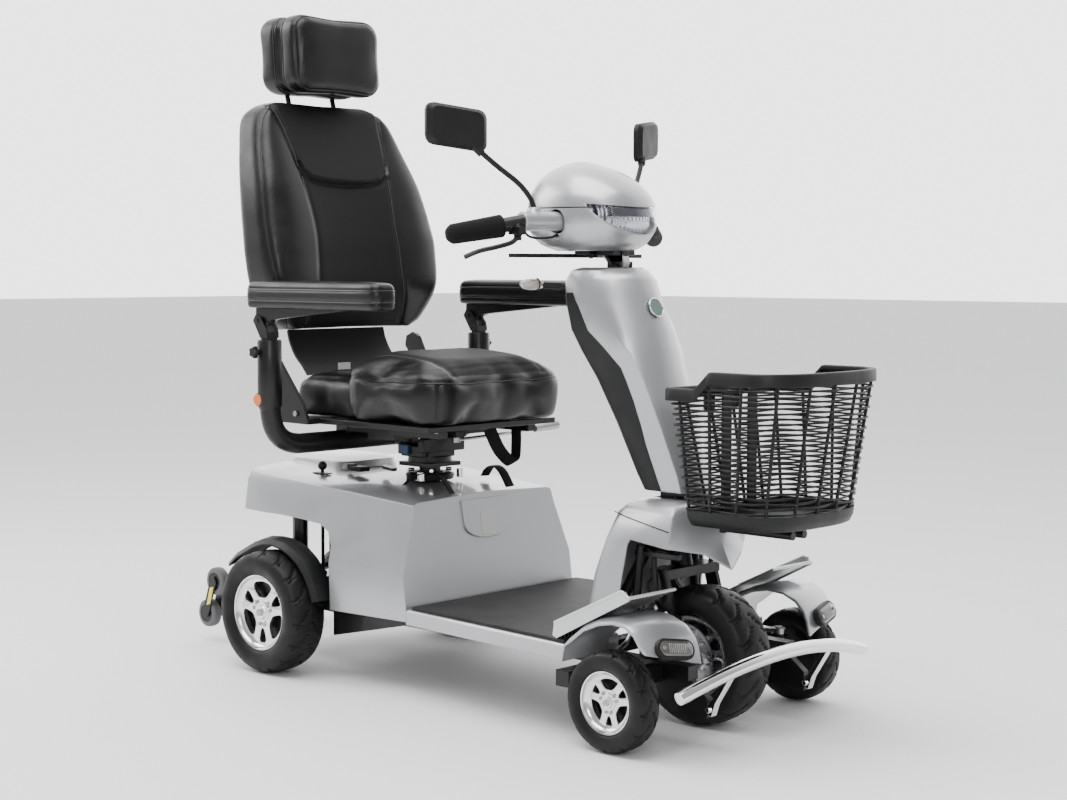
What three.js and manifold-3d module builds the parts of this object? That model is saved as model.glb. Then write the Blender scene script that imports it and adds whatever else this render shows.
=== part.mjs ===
// A five-wheel mobility scooter: two driven rear wheels, one steered centre wheel and two small outrigger
// wheels in front, a swivelling captain's seat and a tilting tiller with a basket.
// Millimetres. +X points forward, +Y to the rider's left and +Z up. Inside the model X is measured from the
// rear axle; the exported group is moved so that its origin is the middle of the footprint, on the ground.

import * as THREE from "three";
import { mergeVertices } from "three/addons/utils/BufferGeometryUtils.js";
import Module from "manifold-3d";

const wasm = await Module();
wasm.setup();

// ---- Driving dimensions -------------------------------------------------------------------------------

const WHEELBASE = 1008; // rear axle to centre front wheel
const REAR_WHEEL = { radius: 138.6, width: 100, rim: 86.7, track: 294.5 };
const CENTRE_WHEEL = { radius: 140.5, width: 107, rim: 86.7 };
const BRAKE_DISC = { radius: 72, inner: -62, outer: -66 };
const SMALL_WHEEL = { radius: 98, width: 60, rim: 62, x: 1024, y: 301 };
const TIP_WHEEL = { radius: 34, width: 24, y: 186 };
const TIP_UPPER = { x: -341, z: 152 };
const TIP_LOWER = { x: -374, z: 70 };
const DECK = { rear: 419, front: 905, top: 190, skirt: 158, halfRear: 271, halfFront: 306, mat: 6.5 };
const RAIL = { y: 160, width: 30, low: 128, high: 156, rear: -172, front: 1146 };
const KINGPIN = { x: 1024, y: 235, low: 115, high: 150 };
const STEER_ARM = 55; // length of the steering arms on the column and on the knuckles
const STEER_RAKE = THREE.MathUtils.degToRad(14);
const STEER_TOP = new THREE.Vector3(930, 0, 425); // a point on the steering axis, in the head tube
const TILT_PIVOT = new THREE.Vector3(930, 0, 434);
const HEAD_PIVOT = new THREE.Vector3(784, 0, 918);
const THROTTLE = { x: 700, low: 938, high: 946 };
const SPEED_KNOB = new THREE.Vector3(574.5, 0, 1084);
const SPEED_KNOB_AXIS = new THREE.Vector3(-0.855, 0, 0.519);
const FREEWHEEL = { x: 18, y: -158, pivot: 210, top: 460 };
const SEAT_POST = { x: 211, radius: 25, bore: 25.6 };
const PAN = { low: 561.6, high: 574 };
const RECLINE = { x: -90, y: 235, z: 730 };
const RECEIVER = { x: 42, y: 330, radius: 27, top: 756, cross: 519 };
const ARM_HINGE = { x: 20, z: 798 };
const ARMREST = { rear: -6, front: 430, low: 827, high: 884, inner: 298.6, outer: 363.6 };
const BASKET = { rear: 1050, front: 1330, low: 424, rim: 724, wall: 5 };
const REAR_END = TIP_LOWER.x - TIP_WHEEL.radius;
const FRAME_SHIFT = -(REAR_END + BASKET.front) / 2;
const GAP = 0.35; // clearance between touching pieces
const SIDES = [
  ["left", 1],
  ["right", -1],
];

// ---- Finishes -----------------------------------------------------------------------------------------

function finish(color, roughness, metalness) {
  return new THREE.MeshStandardMaterial({ color, roughness, metalness });
}

const silverPaint = finish(0xb4b6ba, 0.32, 0.55);
const blackPaint = finish(0x17181a, 0.45, 0.2);
const blackPlastic = finish(0x1c1d1f, 0.6, 0);
const blackVinyl = finish(0x141416, 0.5, 0);
const tyreRubber = finish(0x1a1a1b, 0.85, 0);
const deckRubber = finish(0x2c2e30, 0.9, 0);
const alloy = finish(0xd2d4d6, 0.22, 0.9);
const chrome = finish(0xe8e9ea, 0.08, 1);
const aluminium = finish(0xc4c6c8, 0.35, 0.85);
const darkMetal = finish(0x3a3c3f, 0.5, 0.7);
const clearLens = finish(0xdfe6ea, 0.08, 0);
const greyRubber = finish(0x6c6e72, 0.8, 0);
const batteryCase = finish(0x24272b, 0.7, 0);

// ---- Solid helpers ------------------------------------------------------------------------------------

function solidOf(geometry) {
  const bare = geometry.clone();
  bare.deleteAttribute("normal");
  bare.deleteAttribute("uv");
  const merged = mergeVertices(bare, 1e-3);
  const corners = merged.index.array;
  const triangles = [];
  for (let i = 0; i < corners.length; i += 3) {
    const [a, b, c] = [corners[i], corners[i + 1], corners[i + 2]];
    if (a !== b && b !== c && c !== a) triangles.push(a, b, c);
  }
  return new wasm.Manifold(
    new wasm.Mesh({
      numProp: 3,
      vertProperties: merged.attributes.position.array,
      triVerts: new Uint32Array(triangles),
    }),
  );
}

function geometryOf(solid) {
  const mesh = solid.getMesh();
  const geometry = new THREE.BufferGeometry();
  geometry.setAttribute("position", new THREE.BufferAttribute(mesh.vertProperties, mesh.numProp));
  geometry.setIndex(new THREE.BufferAttribute(mesh.triVerts, 1));
  geometry.computeVertexNormals();
  return geometry;
}

function join(solids) {
  return solids.reduce((whole, next) => whole.add(next));
}

function cut(solid, tools) {
  return tools.reduce((whole, tool) => whole.subtract(tool), solid);
}

function box([x0, x1], [y0, y1], [z0, z1]) {
  const geometry = new THREE.BoxGeometry(x1 - x0, y1 - y0, z1 - z0);
  return solidOf(geometry.translate((x0 + x1) / 2, (y0 + y1) / 2, (z0 + z1) / 2));
}

// A box between y0 and y1 on one side of the centre line.
function sideBox(xs, [y0, y1], zs, side) {
  return box(xs, side > 0 ? [y0, y1] : [-y1, -y0], zs);
}

// A round bar from one point to another; endRadius makes it taper.
function rod(from, to, radius, sides = 12, endRadius = radius) {
  const start = new THREE.Vector3(...from);
  const end = new THREE.Vector3(...to);
  const axis = end.clone().sub(start);
  const geometry = new THREE.CylinderGeometry(endRadius, radius, axis.length(), sides);
  const up = new THREE.Vector3(0, 1, 0);
  geometry.applyQuaternion(new THREE.Quaternion().setFromUnitVectors(up, axis.clone().normalize()));
  return solidOf(geometry.translate(...start.add(end).multiplyScalar(0.5).toArray()));
}

// A round tube along a smooth curve through the points.
function bentRod(points, radius, sides = 12, steps = 20) {
  const section = new THREE.Shape().absarc(0, 0, radius, 0, 2 * Math.PI);
  const path = new THREE.CatmullRomCurve3(points.map((p) => new THREE.Vector3(...p)), false, "centripetal");
  const settings = { steps, extrudePath: path, curveSegments: sides / 2, bevelEnabled: false };
  return outward(new THREE.ExtrudeGeometry(section, settings));
}

function flipped(geometry) {
  const copy = geometry.index ? geometry.toNonIndexed() : geometry.clone();
  const p = copy.attributes.position;
  for (let i = 0; i < p.count; i += 3) {
    const [x, y, z] = [p.getX(i + 1), p.getY(i + 1), p.getZ(i + 1)];
    p.setXYZ(i + 1, p.getX(i + 2), p.getY(i + 2), p.getZ(i + 2));
    p.setXYZ(i + 2, x, y, z);
  }
  return copy;
}

// The solid of a closed geometry, whichever way its faces point.
function outward(geometry) {
  const solid = solidOf(geometry);
  return solid.volume() < 0 ? solidOf(flipped(geometry)) : solid;
}

// A closed skin over rings of equally many points, with a fan over each end ring.
function loft(rings) {
  const count = rings[0].length;
  const positions = rings.flat().flatMap((p) => p);
  const index = [];
  for (let r = 0; r + 1 < rings.length; r++) {
    for (let i = 0; i < count; i++) {
      const a = r * count + i;
      const b = r * count + ((i + 1) % count);
      index.push(a, b, b + count, a, b + count, a + count);
    }
  }
  for (const [r, flip] of [
    [0, true],
    [rings.length - 1, false],
  ]) {
    const middle = positions.length / 3;
    for (let axis = 0; axis < 3; axis++) {
      positions.push(rings[r].reduce((sum, p) => sum + p[axis], 0) / count);
    }
    for (let i = 0; i < count; i++) {
      const a = r * count + i;
      const b = r * count + ((i + 1) % count);
      index.push(...(flip ? [b, a, middle] : [a, b, middle]));
    }
  }
  const geometry = new THREE.BufferGeometry();
  geometry.setAttribute("position", new THREE.Float32BufferAttribute(positions, 3));
  geometry.setIndex(index);
  return outward(geometry);
}

// A shape in the X-Z plane, drawn through its points, as thick as from y0 to y1.
function sideProfile(points, [y0, y1]) {
  const shape = new THREE.Shape(points.map(([x, z]) => new THREE.Vector2(x, z)));
  const geometry = new THREE.ExtrudeGeometry(shape, { depth: y1 - y0, bevelEnabled: false });
  return outward(geometry.rotateX(Math.PI / 2).translate(0, y1, 0));
}

// A ring of points round a rectangle with round corners, centred on (u, v).
function roundedRing(u, v, halfU, halfV, radius, perCorner = 4) {
  const ring = [];
  const corners = [
    [1, 1],
    [-1, 1],
    [-1, -1],
    [1, -1],
  ];
  corners.forEach(([su, sv], quarter) => {
    for (let i = 0; i < perCorner; i++) {
      const angle = (quarter + i / (perCorner - 1)) * (Math.PI / 2);
      const reach = [radius * Math.cos(angle), radius * Math.sin(angle)];
      ring.push([u + su * (halfU - radius) + reach[0], v + sv * (halfV - radius) + reach[1]]);
    }
  });
  return ring;
}

// A revolved solid about the Y axis through (x, z); the profile lists [radius, y] and closes on itself.
function wheelLathe(profile, x, y, z, segments = 32) {
  const points = [...profile, profile[0]].map(([radius, height]) => new THREE.Vector2(radius, height));
  return outward(new THREE.LatheGeometry(points, segments).translate(x, y, z));
}

// The solid turned about an axis through a point.
function turned(geometrySolid, centre, axis, angle) {
  const geometry = geometryOf(geometrySolid);
  geometry.translate(-centre.x, -centre.y, -centre.z);
  geometry.applyQuaternion(new THREE.Quaternion().setFromAxisAngle(axis, angle));
  return solidOf(geometry.translate(centre.x, centre.y, centre.z));
}

function piece(name, solid, material) {
  const mesh = new THREE.Mesh(geometryOf(solid), material);
  mesh.name = name;
  return mesh;
}

// The x of the steering axis at a height.
function steerX(z) {
  return STEER_TOP.x + (STEER_TOP.z - z) * Math.tan(STEER_RAKE);
}

// ---- Chassis ------------------------------------------------------------------------------------------

function mainFrame() {
  const parts = [];
  const inner = RAIL.y - RAIL.width / 2;
  const outer = RAIL.y + RAIL.width / 2;
  const axleZ = REAR_WHEEL.radius;
  for (const [, side] of SIDES) {
    const plate = side > 0 ? [152, 168] : [-168, -152];
    parts.push(sideBox([RAIL.rear, RAIL.front - 40], [inner, outer], [RAIL.low, RAIL.high], side));
    // the rail stepped over the rear axle, and the upright that carries the back of the body shell
    parts.push(sideBox([-66, 60], [inner, outer], [RAIL.high - 2, RAIL.high + 30], side));
    parts.push(rod([-45, side * 172, RAIL.high], [-45, side * 172, 350], 18, 10));
    // kingpin sleeve, its bracket and the drop plate down to the bumper
    parts.push(sideBox([1008, 1040], [outer - 2, KINGPIN.y - 8], [KINGPIN.low + 3, KINGPIN.high - 2], side));
    const pinY = side * KINGPIN.y;
    parts.push(rod([KINGPIN.x, pinY, KINGPIN.low], [KINGPIN.x, pinY, KINGPIN.high], 16));
    parts.push(sideProfile(DROP_PLATE, plate));
    // battery tray side and front outrigger
    parts.push(sideProfile(TRAY_SIDE, side > 0 ? [226, 234] : [-234, -226]));
    parts.push(sideBox([862, 896], [inner, 284], [100, RAIL.low + 4], side));
    // strut up to the head tube
    parts.push(rod([828, side * 120, 140], [900, side * 50, 352], 12, 12));
  }
  parts.push(box([RAIL.rear, RAIL.rear + 22], [-outer, outer], [RAIL.low, RAIL.high]));
  const lever = FREEWHEEL;
  parts.push(box([lever.x - 12, lever.x + 12], [-168, -148], [RAIL.high, lever.pivot - 7]));
  parts.push(box([150, 270], [-230, 230], [RAIL.low, RAIL.high]));
  parts.push(box([470, 505], [-RAIL.y, RAIL.y], [RAIL.low, RAIL.high]));
  parts.push(box([808, 842], [-RAIL.y, RAIL.y], [RAIL.low, RAIL.high]));
  parts.push(rod([SEAT_POST.x, 0, RAIL.low + 4], [SEAT_POST.x, 0, 424], 33, 20));
  // head tube and the gusset between the struts
  const onAxis = (low, high, radius) => rod([steerX(low), 0, low], [steerX(high), 0, high], radius, 16);
  parts.push(onAxis(338, 410, 27));
  parts.push(box([885, 930], [-56, 56], [340, 362]));
  const bores = SIDES.flatMap(([, side]) => [
    rod([KINGPIN.x, side * KINGPIN.y, KINGPIN.low - 5], [KINGPIN.x, side * KINGPIN.y, KINGPIN.high + 5], 8.6),
    rod([0, side * 130, axleZ], [0, side * 190, axleZ], 20.8, 20),
    sideBox([-20.8, 20.8], [130, 190], [100, axleZ], side),
  ]);
  return cut(join(parts), [
    onAxis(330, 432, 18.6),
    rod([SEAT_POST.x, 0, 200], [SEAT_POST.x, 0, 430], SEAT_POST.bore, 20),
    ...bores,
  ]);
}

// Side outlines of the plate from the rail down to the bumper, and of the battery tray.
const DROP_PLATE = [
  [984, 150],
  [990, 122],
  [1062, 62],
  [RAIL.front, 62],
  [RAIL.front, 100],
  [1100, 134],
  [1100, 150],
];
const TRAY_SIDE = [
  [142, 92],
  [300, 128],
  [404, 152],
  [404, 158],
  [142, 158],
];

// The outline of the rear body shell across the scooter at a distance x, pulled in by an inset.
function shellSection(x, roundness, inset) {
  const t = (x + 142) / 530;
  const half = [270, 254 - 24 * t, 240 - 21 * t].map((h) => h * roundness - inset);
  const drop = inset + 26 * (1 - roundness);
  const [foot, crease, edge, crown] = [152 + 10 * t, 424 - 45 * t, 449 - 37 * t - drop, 457 - 37 * t - drop];
  const right = [
    [-half[0], foot - (inset ? 20 : 0)],
    [-half[0] + 1, 0.55 * foot + 0.45 * crease],
    [-half[1], crease - drop],
    [-half[2] - 4, edge - 5],
    [-half[2] + 8, edge],
    [-half[2] * 0.5, (edge + crown) / 2],
    [0, crown],
  ];
  const left = right.slice(0, -1).reverse();
  return [...right, ...left.map(([y, z]) => [-y, z])];
}

// [x at the height where the ends start to lean, roundness, lean] of each section of the rear body shell.
const SHELL_STATIONS = [
  [-206, 0.52, 0.25],
  [-194, 0.82, 0.25],
  [-150, 0.975, 0.12],
  [-90, 0.998, 0],
  [150, 1, 0],
  [412, 0.985, -0.123],
];

function shellLoft(inset) {
  const last = SHELL_STATIONS.length - 1;
  return loft(
    SHELL_STATIONS.map(([x, roundness, lean], k) => {
      const station = x + inset * ((k < 2) - (k === last));
      const leanFrom = k === last ? 200 : 356;
      return shellSection(station, roundness, inset).map(([y, z]) => {
        return [station + lean * (k === last ? z - leanFrom : Math.max(0, z - leanFrom)), y, z];
      });
    }),
  );
}

function rearFairing() {
  const hump = loft(
    [
      [440, 112, 96, 40],
      [462, 104, 88, 36],
      [470, 84, 66, 30],
    ].map(([z, halfX, halfY, r]) => roundedRing(-88, 0, halfX, halfY, r).map(([x, y]) => [x, y, z])),
  );
  const skin = cut(shellLoft(0).add(hump), [shellLoft(4)]);
  const arch = [
    [-230, 100],
    [-230, 356],
    [0, 352],
    [120, 344],
    [150, 330],
    [165, 300],
    [173, 100],
  ];
  return cut(skin, [
    sideProfile(arch, [-300, 300]),
    rod([SEAT_POST.x, 0, 400], [SEAT_POST.x, 0, 500], 40, 24),
    box([FREEWHEEL.x - 25, FREEWHEEL.x + 25], [-166, -150], [400, 500]), // slot for the freewheel lever
  ]);
}

// The flap over the battery connectors: a U-shaped tab on the front face that folds over the top edge.
function batteryCover() {
  const lean = 0.123;
  const faceX = (z) => 412 - (z - 200) * lean + GAP;
  const outline = [];
  for (let i = 0; i <= 8; i++) {
    const angle = Math.PI + (Math.PI * i) / 8;
    outline.push([72 * Math.cos(angle), 350 + 34 * Math.sin(angle)]);
  }
  outline.push([76, 404], [-76, 404]);
  const ring = (proud) => outline.map(([y, z]) => [faceX(z) + proud, y, z]);
  return loft([ring(0), ring(4)]);
}

function deckPlan(inset) {
  return [
    [DECK.rear + inset, -DECK.halfRear + inset],
    [DECK.front - inset, -DECK.halfFront + inset],
    [DECK.front - inset, DECK.halfFront - inset],
    [DECK.rear + inset, DECK.halfRear - inset],
  ];
}

// The front fender's outline from the side: [x, z, how much of the front face's sweep applies].
const FENDER_OUTER = [
  [899, 158, 0],
  [906, 188, 0],
  [926, 216, 0],
  [956, 239, 0],
  [992, 254, 0],
  [1034, 261, 0.1],
  [1074, 258, 0.4],
  [1106, 245, 0.8],
  [1126, 225, 1],
  [1134, 208, 1],
  [1141, 168, 1],
];

// How far out each line along the front fender lies, and how far it drops at the rounded edges.
const FENDER_LINES = [
  [180, 7],
  [194, 1],
  [240, 0],
  [296, 1],
  [314, 9],
];

// The front fender's section across one point of its side outline: its skin is 5 thick.
function fenderRing([x, z, sweep], side) {
  const skin = (thickness) =>
    FENDER_LINES.map(([y, drop]) => {
      const t = (y - 180) / 134;
      const height = z + (sweep === 1 ? 32 * t * Math.max(0, (225 - z) / 57) : 0);
      const fall = z > 200 ? drop + thickness : 0;
      const shift = x < 1000 ? 1.1 * thickness : -0.9 * sweep * thickness;
      return [x + shift - 24 * t * sweep, side * y, height - fall];
    });
  return [...skin(0), ...skin(5).reverse()];
}

// The floor moulding: a tray with skirts, running into an arched fender over each small front wheel.
function floorMoulding() {
  const at = (inset, z) => deckPlan(inset).map(([x, y]) => [x, y, z]);
  const tray = cut(loft([at(0, DECK.skirt), at(0, DECK.top - 4), at(4, DECK.top)]), [
    loft([at(4, DECK.skirt - 10), at(4, DECK.top - 5)]),
  ]);
  const fenders = SIDES.map(([, side]) => loft(FENDER_OUTER.map((point) => fenderRing(point, side))));
  return cut(join([tray, ...fenders]), [box([796, 960], [-145, 145], [100, 260])]);
}

function deckMat() {
  const low = DECK.top + GAP;
  const at = (z) => deckPlan(9).map(([x, y]) => [x, y, z]);
  return cut(loft([at(low), at(DECK.top + DECK.mat)]), [box([788, 960], [-153, 153], [100, 260])]);
}

// [height, rear x, half-width, front corner x, nose x] of the hood over the centre wheel.
const HOOD_ROWS = [
  [DECK.top + 9, 799, 137, 1018, 1112],
  [300, 818, 133, 1018, 1086],
  [375, 844, 127, 1018, 1048],
  [430, 864, 112, 1017, 1030],
  [446, 874, 96, 1008, 1020],
  [454, 892, 62, 985, 992],
];

function hoodRing([z, rear, half, corner, nose], inset) {
  const flank = (s) => [
    [rear + inset, s * (half - 24)],
    [rear + 7 + inset, s * (half - 7 - inset)],
    [rear + 24, s * (half - inset)],
    [corner - 5 - inset, s * (half - inset)],
    [corner - inset, s * (half - 6 - inset)],
  ];
  const right = flank(-1);
  return [...right, [nose - inset, 0], ...flank(1).reverse()].map(([x, y]) => [x, y, z]);
}

function frontHood() {
  const outer = loft(HOOD_ROWS.map((row) => hoodRing(row, 0)));
  const inner = loft(HOOD_ROWS.map(([z, ...rest], i) => hoodRing([i === 0 ? z - 20 : z - 4, ...rest], 4)));
  const arch = [
    [894, 100],
    [896, 260],
    [911, 366],
    [918, 377],
    [1018, 366],
    [1072, 322],
    [1180, 240],
    [1180, 100],
  ];
  return cut(outer, [
    inner,
    sideProfile(arch, [-200, 200]),
    rod([steerX(380), 0, 380], [steerX(480), 0, 480], 40, 24),
  ]);
}

function bumper() {
  const bar = (y) => {
    const t = (y / 305) ** 2;
    return [1212 - 25 * t, y, 175 - 46 * t];
  };
  const points = Array.from({ length: 9 }, (_, i) => bar(-305 + (610 * i) / 8));
  const parts = [bentRod(points, 13.5, 12, 16)];
  for (const [, side] of SIDES) {
    const [y0, y1] = side > 0 ? [152, 168] : [-168, -152];
    const strut = [
      [RAIL.front + GAP, 68],
      [1157, 66],
      [1166, 92],
      [1206, 156],
      [1197, 160],
      [1156, 98],
      [RAIL.front + GAP, 90],
    ];
    parts.push(sideProfile(strut, [y0, y1]));
  }
  return join(parts);
}

// A crowned guard curving over the inner part of a rear tyre, flared at its rear tip.
function mudguard(side) {
  const section = [
    [240, -15],
    [247, -5],
    [268, 0],
    [292, -5],
    [301, -16],
  ];
  const crown = 168;
  const steps = 11;
  const rings = Array.from({ length: steps + 1 }, (_, i) => {
    const angle = THREE.MathUtils.degToRad(14 + (136 * i) / steps);
    const flare = 22 * Math.max(0, i / steps - 0.8) * 5;
    const at = (y, r) => [r * Math.cos(angle), side * y, REAR_WHEEL.radius + r * Math.sin(angle)];
    const top = section.map(([y, dip]) => at(y, crown + dip + flare));
    const under = section.map(([y, dip]) => at(y, crown + dip + flare - 3.5)).reverse();
    return [...top, ...under];
  });
  return loft(rings).add(sideBox([-58, -32], [190.6, 250], [283, 288], side));
}

function battery(side) {
  return sideBox([96, 356], [38, 206], [RAIL.high + 2, 352], side);
}

function transaxle() {
  const z = REAR_WHEEL.radius;
  const reach = REAR_WHEEL.track + 28;
  return join([
    rod([0, -236, z], [0, 236, z], 20, 20),
    rod([0, -reach, z], [0, reach, z], 10, 16),
    rod([0, -58, z], [0, 52, z], 58, 20),
    rod([-30, 0, z], [-146, 0, z], 44, 20),
    rod([-30, 0, z], [-60, 0, z], 50, 20),
  ]);
}

// A footplate rising forward over the fender, with a lip along its outer edge.
function footplate(side) {
  const plate = [
    [872, 202],
    [876, 202],
    [1060, 297],
    [1058, 301],
    [872, 206],
  ];
  const lip = [
    [872, 202],
    [876, 202],
    [1060, 297],
    [1052, 309],
    [1044, 309],
    [874, 226],
  ];
  return join([
    sideProfile(plate, side > 0 ? [160, 300] : [-300, -160]),
    sideProfile(lip, side > 0 ? [296, 300] : [-300, -296]),
    sideBox([872, 876], [168, 296], [197.2, 205], side),
  ]);
}

function tipBracket() {
  const arm = [
    [-195, RAIL.low],
    [-195, RAIL.high],
    [-330, 168],
    [-350, 166],
    [-357, 150],
    [-388, 74],
    [-386, 58],
    [-372, 54],
    [-358, 62],
    [-330, 132],
  ];
  const arms = SIDES.map(([, side]) => sideProfile(arm, side > 0 ? [160, 169] : [-169, -160]));
  const crossbar = box([-215, -192], [-168, 168], [RAIL.low + 2, RAIL.high - 2]);
  const foot = box([-200, RAIL.rear - GAP], [-120, 120], [RAIL.low + 4, RAIL.high - 4]);
  const bore = ({ x, z }) => rod([x, -200, z], [x, 200, z], 6.6, 16);
  return cut(join([...arms, crossbar, foot]), [bore(TIP_UPPER), bore(TIP_LOWER)]);
}

// The long lever that frees the drive from its brake, pivoted over the frame rail.
function freewheelLever() {
  const { x, y, pivot, top } = FREEWHEEL;
  return join([
    rod([x, y, pivot], [x, y, top - 8], 4, 8),
    solidOf(new THREE.SphereGeometry(11, 10, 7).translate(x, y, top)),
    rod([x, y - 8, pivot], [x, y + 8, pivot], 6, 10),
  ]);
}

// ---- Wheels -------------------------------------------------------------------------------------------

// Road tyre: [radius, y] round its section, from one bead over the crown to the other.
function tyre({ radius, width, rim }, x, y, z, segments) {
  const half = width / 2;
  const depth = radius - rim;
  const section = [
    [rim, -half * 0.82],
    [rim + depth * 0.45, -half],
    [rim + depth * 0.8, -half * 0.9],
    [radius - depth * 0.05, -half * 0.6],
    [radius, -half * 0.25],
  ];
  const other = section.map(([r, h]) => [r, -h]).reverse();
  return wheelLathe([...section, ...other].map(([r, h]) => [r + GAP * (r === rim), h]), x, y, z, segments);
}

const DISH = 22; // how far the spokes are set in from the rim's outer edge

// Alloy rim: a barrel, and a dished face with three wide and three narrow openings between the spokes.
function rim({ width, rim: radius }, x, y, z, side, hubReach, axleBore, segments) {
  const half = width * 0.41;
  const barrel = wheelLathe(
    [
      [radius, -half],
      [radius, half],
      [radius - 4, half],
      [radius - 13, half - 16],
      [radius - 13, -half],
    ],
    x,
    y,
    z,
    segments,
  );
  const face = new THREE.Shape(arc(radius - 8, 0, 2 * Math.PI, segments).slice(1));
  for (let i = 0; i < 3; i++) {
    const wide = (i * 2 * Math.PI) / 3 + Math.PI / 2;
    face.holes.push(opening(radius, wide, 0.62, 5));
    face.holes.push(opening(radius, wide + Math.PI / 3, 0.2, 3));
  }
  const disc = new THREE.ExtrudeGeometry(face, { depth: 9, bevelEnabled: false });
  disc.rotateX(Math.PI / 2);
  disc.translate(x, y + side * (half - DISH) + 4.5, z);
  const ends = [y - side * hubReach, y + side * (half - DISH + 9)];
  const hub = rod([x, ends[0], z], [x, ends[1], z], radius * 0.3, 14);
  const bore = rod([x, y - side * (hubReach + 5), z], [x, y + side * (half + 9), z], axleBore);
  return join([barrel, outward(disc), hub]).subtract(bore);
}

// Points along an arc round the origin.
function arc(radius, from, to, steps) {
  return Array.from({ length: steps + 1 }, (_, i) => {
    const angle = from + ((to - from) * i) / steps;
    return new THREE.Vector2(radius * Math.cos(angle), radius * Math.sin(angle));
  });
}

// An opening between two spokes, spread to each side of its middle angle.
function opening(radius, middle, spread, steps) {
  const outer = arc(radius * 0.82, middle - spread, middle + spread, steps);
  const inner = arc(radius * 0.42, middle + spread * 0.8, middle - spread * 0.8, steps - 1);
  return new THREE.Path([...outer, ...inner]);
}

function brakeDisc() {
  const [x, z] = [WHEELBASE, CENTRE_WHEEL.radius];
  const disc = rod([x, BRAKE_DISC.inner, z], [x, BRAKE_DISC.outer, z], BRAKE_DISC.radius, 24);
  return disc.add(rod([x, -30, z], [x, BRAKE_DISC.outer - 1, z], 22, 14));
}

function centreRim() {
  const [x, z] = [WHEELBASE, CENTRE_WHEEL.radius];
  const wheel = rim(CENTRE_WHEEL, x, 0, z, -1, 57, 8.4, 28);
  return wheel.add(brakeDisc().subtract(rod([x, -80, z], [x, -25, z], 8.4, 16)));
}

function tipWheels({ x, z }) {
  const { radius, width, y } = TIP_WHEEL;
  const parts = [rod([x, -y, z], [x, y, z], 6, 16)];
  for (const [, side] of SIDES) {
    parts.push(
      wheelLathe(
        [
          [5, -width / 2],
          [radius - 5, -width / 2],
          [radius, -width / 4],
          [radius, width / 4],
          [radius - 5, width / 2],
          [5, width / 2],
        ],
        x,
        side * y,
        z,
        18,
      ),
    );
  }
  return join(parts);
}

// ---- Steering -----------------------------------------------------------------------------------------

// A length of brake cable, held by the part it runs along.
function cableRun(points) {
  return bentRod(points, 2.6, 6, 8);
}

function frontFork() {
  const along = (z0, z1, radius) => rod([steerX(z0), 0, z0], [steerX(z1), 0, z1], radius, 16);
  const crownZ = 306;
  const crownX = steerX(crownZ);
  const legs = SIDES.map(([, side]) => {
    const y = side * 79;
    return sideProfile(
      [
        [crownX - 16, crownZ + 8],
        [crownX + 14, crownZ + 8],
        [WHEELBASE + 14, CENTRE_WHEEL.radius + 4],
        [WHEELBASE + 8, CENTRE_WHEEL.radius - 14],
        [WHEELBASE - 10, CENTRE_WHEEL.radius - 14],
        [WHEELBASE - 18, CENTRE_WHEEL.radius + 4],
      ],
      [y - 5, y + 5],
    );
  });
  const discEdge = CENTRE_WHEEL.radius + BRAKE_DISC.radius;
  const caliper = box([960, 994], [-92, -55], [discEdge - 38, discEdge + 9]).subtract(
    box([950, 1004], [BRAKE_DISC.outer - 2.5, BRAKE_DISC.inner + 2.5], [discEdge - 50, discEdge + 2]),
  );
  const cable = cableRun([
    [crownX - 14, -70, crownZ + 2],
    [crownX - 22, -94, 288],
    [956, -99, 252],
    [974, -88, discEdge],
  ]);
  const steerArm = box([crownX - STEER_ARM - 8, crownX], [-12, 12], [crownZ - 8, crownZ + 2]);
  return join([
    along(crownZ - 4, 436, 17),
    box([crownX - 24, crownX + 22], [-84, 84], [crownZ - 9, crownZ + 11]),
    rod([WHEELBASE, -86, CENTRE_WHEEL.radius], [WHEELBASE, 86, CENTRE_WHEEL.radius], 7.8, 16),
    rod([TILT_PIVOT.x, -31, TILT_PIVOT.z], [TILT_PIVOT.x, 31, TILT_PIVOT.z], 3.4, 12),
    caliper,
    cable,
    steerArm,
    ...legs,
  ]);
}

function knuckle(side) {
  const { x, y } = KINGPIN;
  const axleZ = SMALL_WHEEL.radius;
  const end = SMALL_WHEEL.y + 15;
  return join([
    rod([x, side * y, axleZ - 12], [x, side * y, KINGPIN.high + 16], 8, 16),
    rod([x, side * y, axleZ - 14], [x, side * y, KINGPIN.low - 1], 15, 16),
    rod([x, side * y, KINGPIN.high + 1], [x, side * y, KINGPIN.high + 13], 15, 16),
    rod([x, side * y, axleZ], [x, side * end, axleZ], 7, 16),
    sideBox([x - STEER_ARM - 9, x], [y - 9, y + 9], [KINGPIN.high + 2, KINGPIN.high + 10], side),
  ]);
}

// The cranked rod between the column's steering arm and a knuckle's arm, bent up inside the frame rail.
function tieRod(side) {
  const z = KINGPIN.high + 20;
  const y = side * KINGPIN.y;
  const knuckleEnd = [KINGPIN.x - STEER_ARM, y, z];
  const bend = [912, side * 128, z];
  const columnEnd = [903, side * 22, 300];
  return join([
    rod(knuckleEnd, bend, 5, 10),
    rod(bend, columnEnd, 5, 10),
    rod([knuckleEnd[0], y, z - 9.4], [knuckleEnd[0], y, z + 8], 10, 14),
  ]);
}

// ---- Tiller -------------------------------------------------------------------------------------------

// [height, rear x, shoulder x, nose x, half-width] of the tiller's casing.
const TILLER_ROWS = [
  [468, 880, 984, 997, 50],
  [500, 862, 977, 990, 53],
  [600, 813, 938, 954, 60],
  [690, 768, 905, 926, 73],
  [745, 735, 880, 912, 85],
  [790, 713, 838, 900, 95],
  [850, 699, 790, 874, 98],
  [892, 694, 780, 858, 92],
  [912, 700, 778, 836, 80],
  [918, 716, 774, 820, 66],
];

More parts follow.
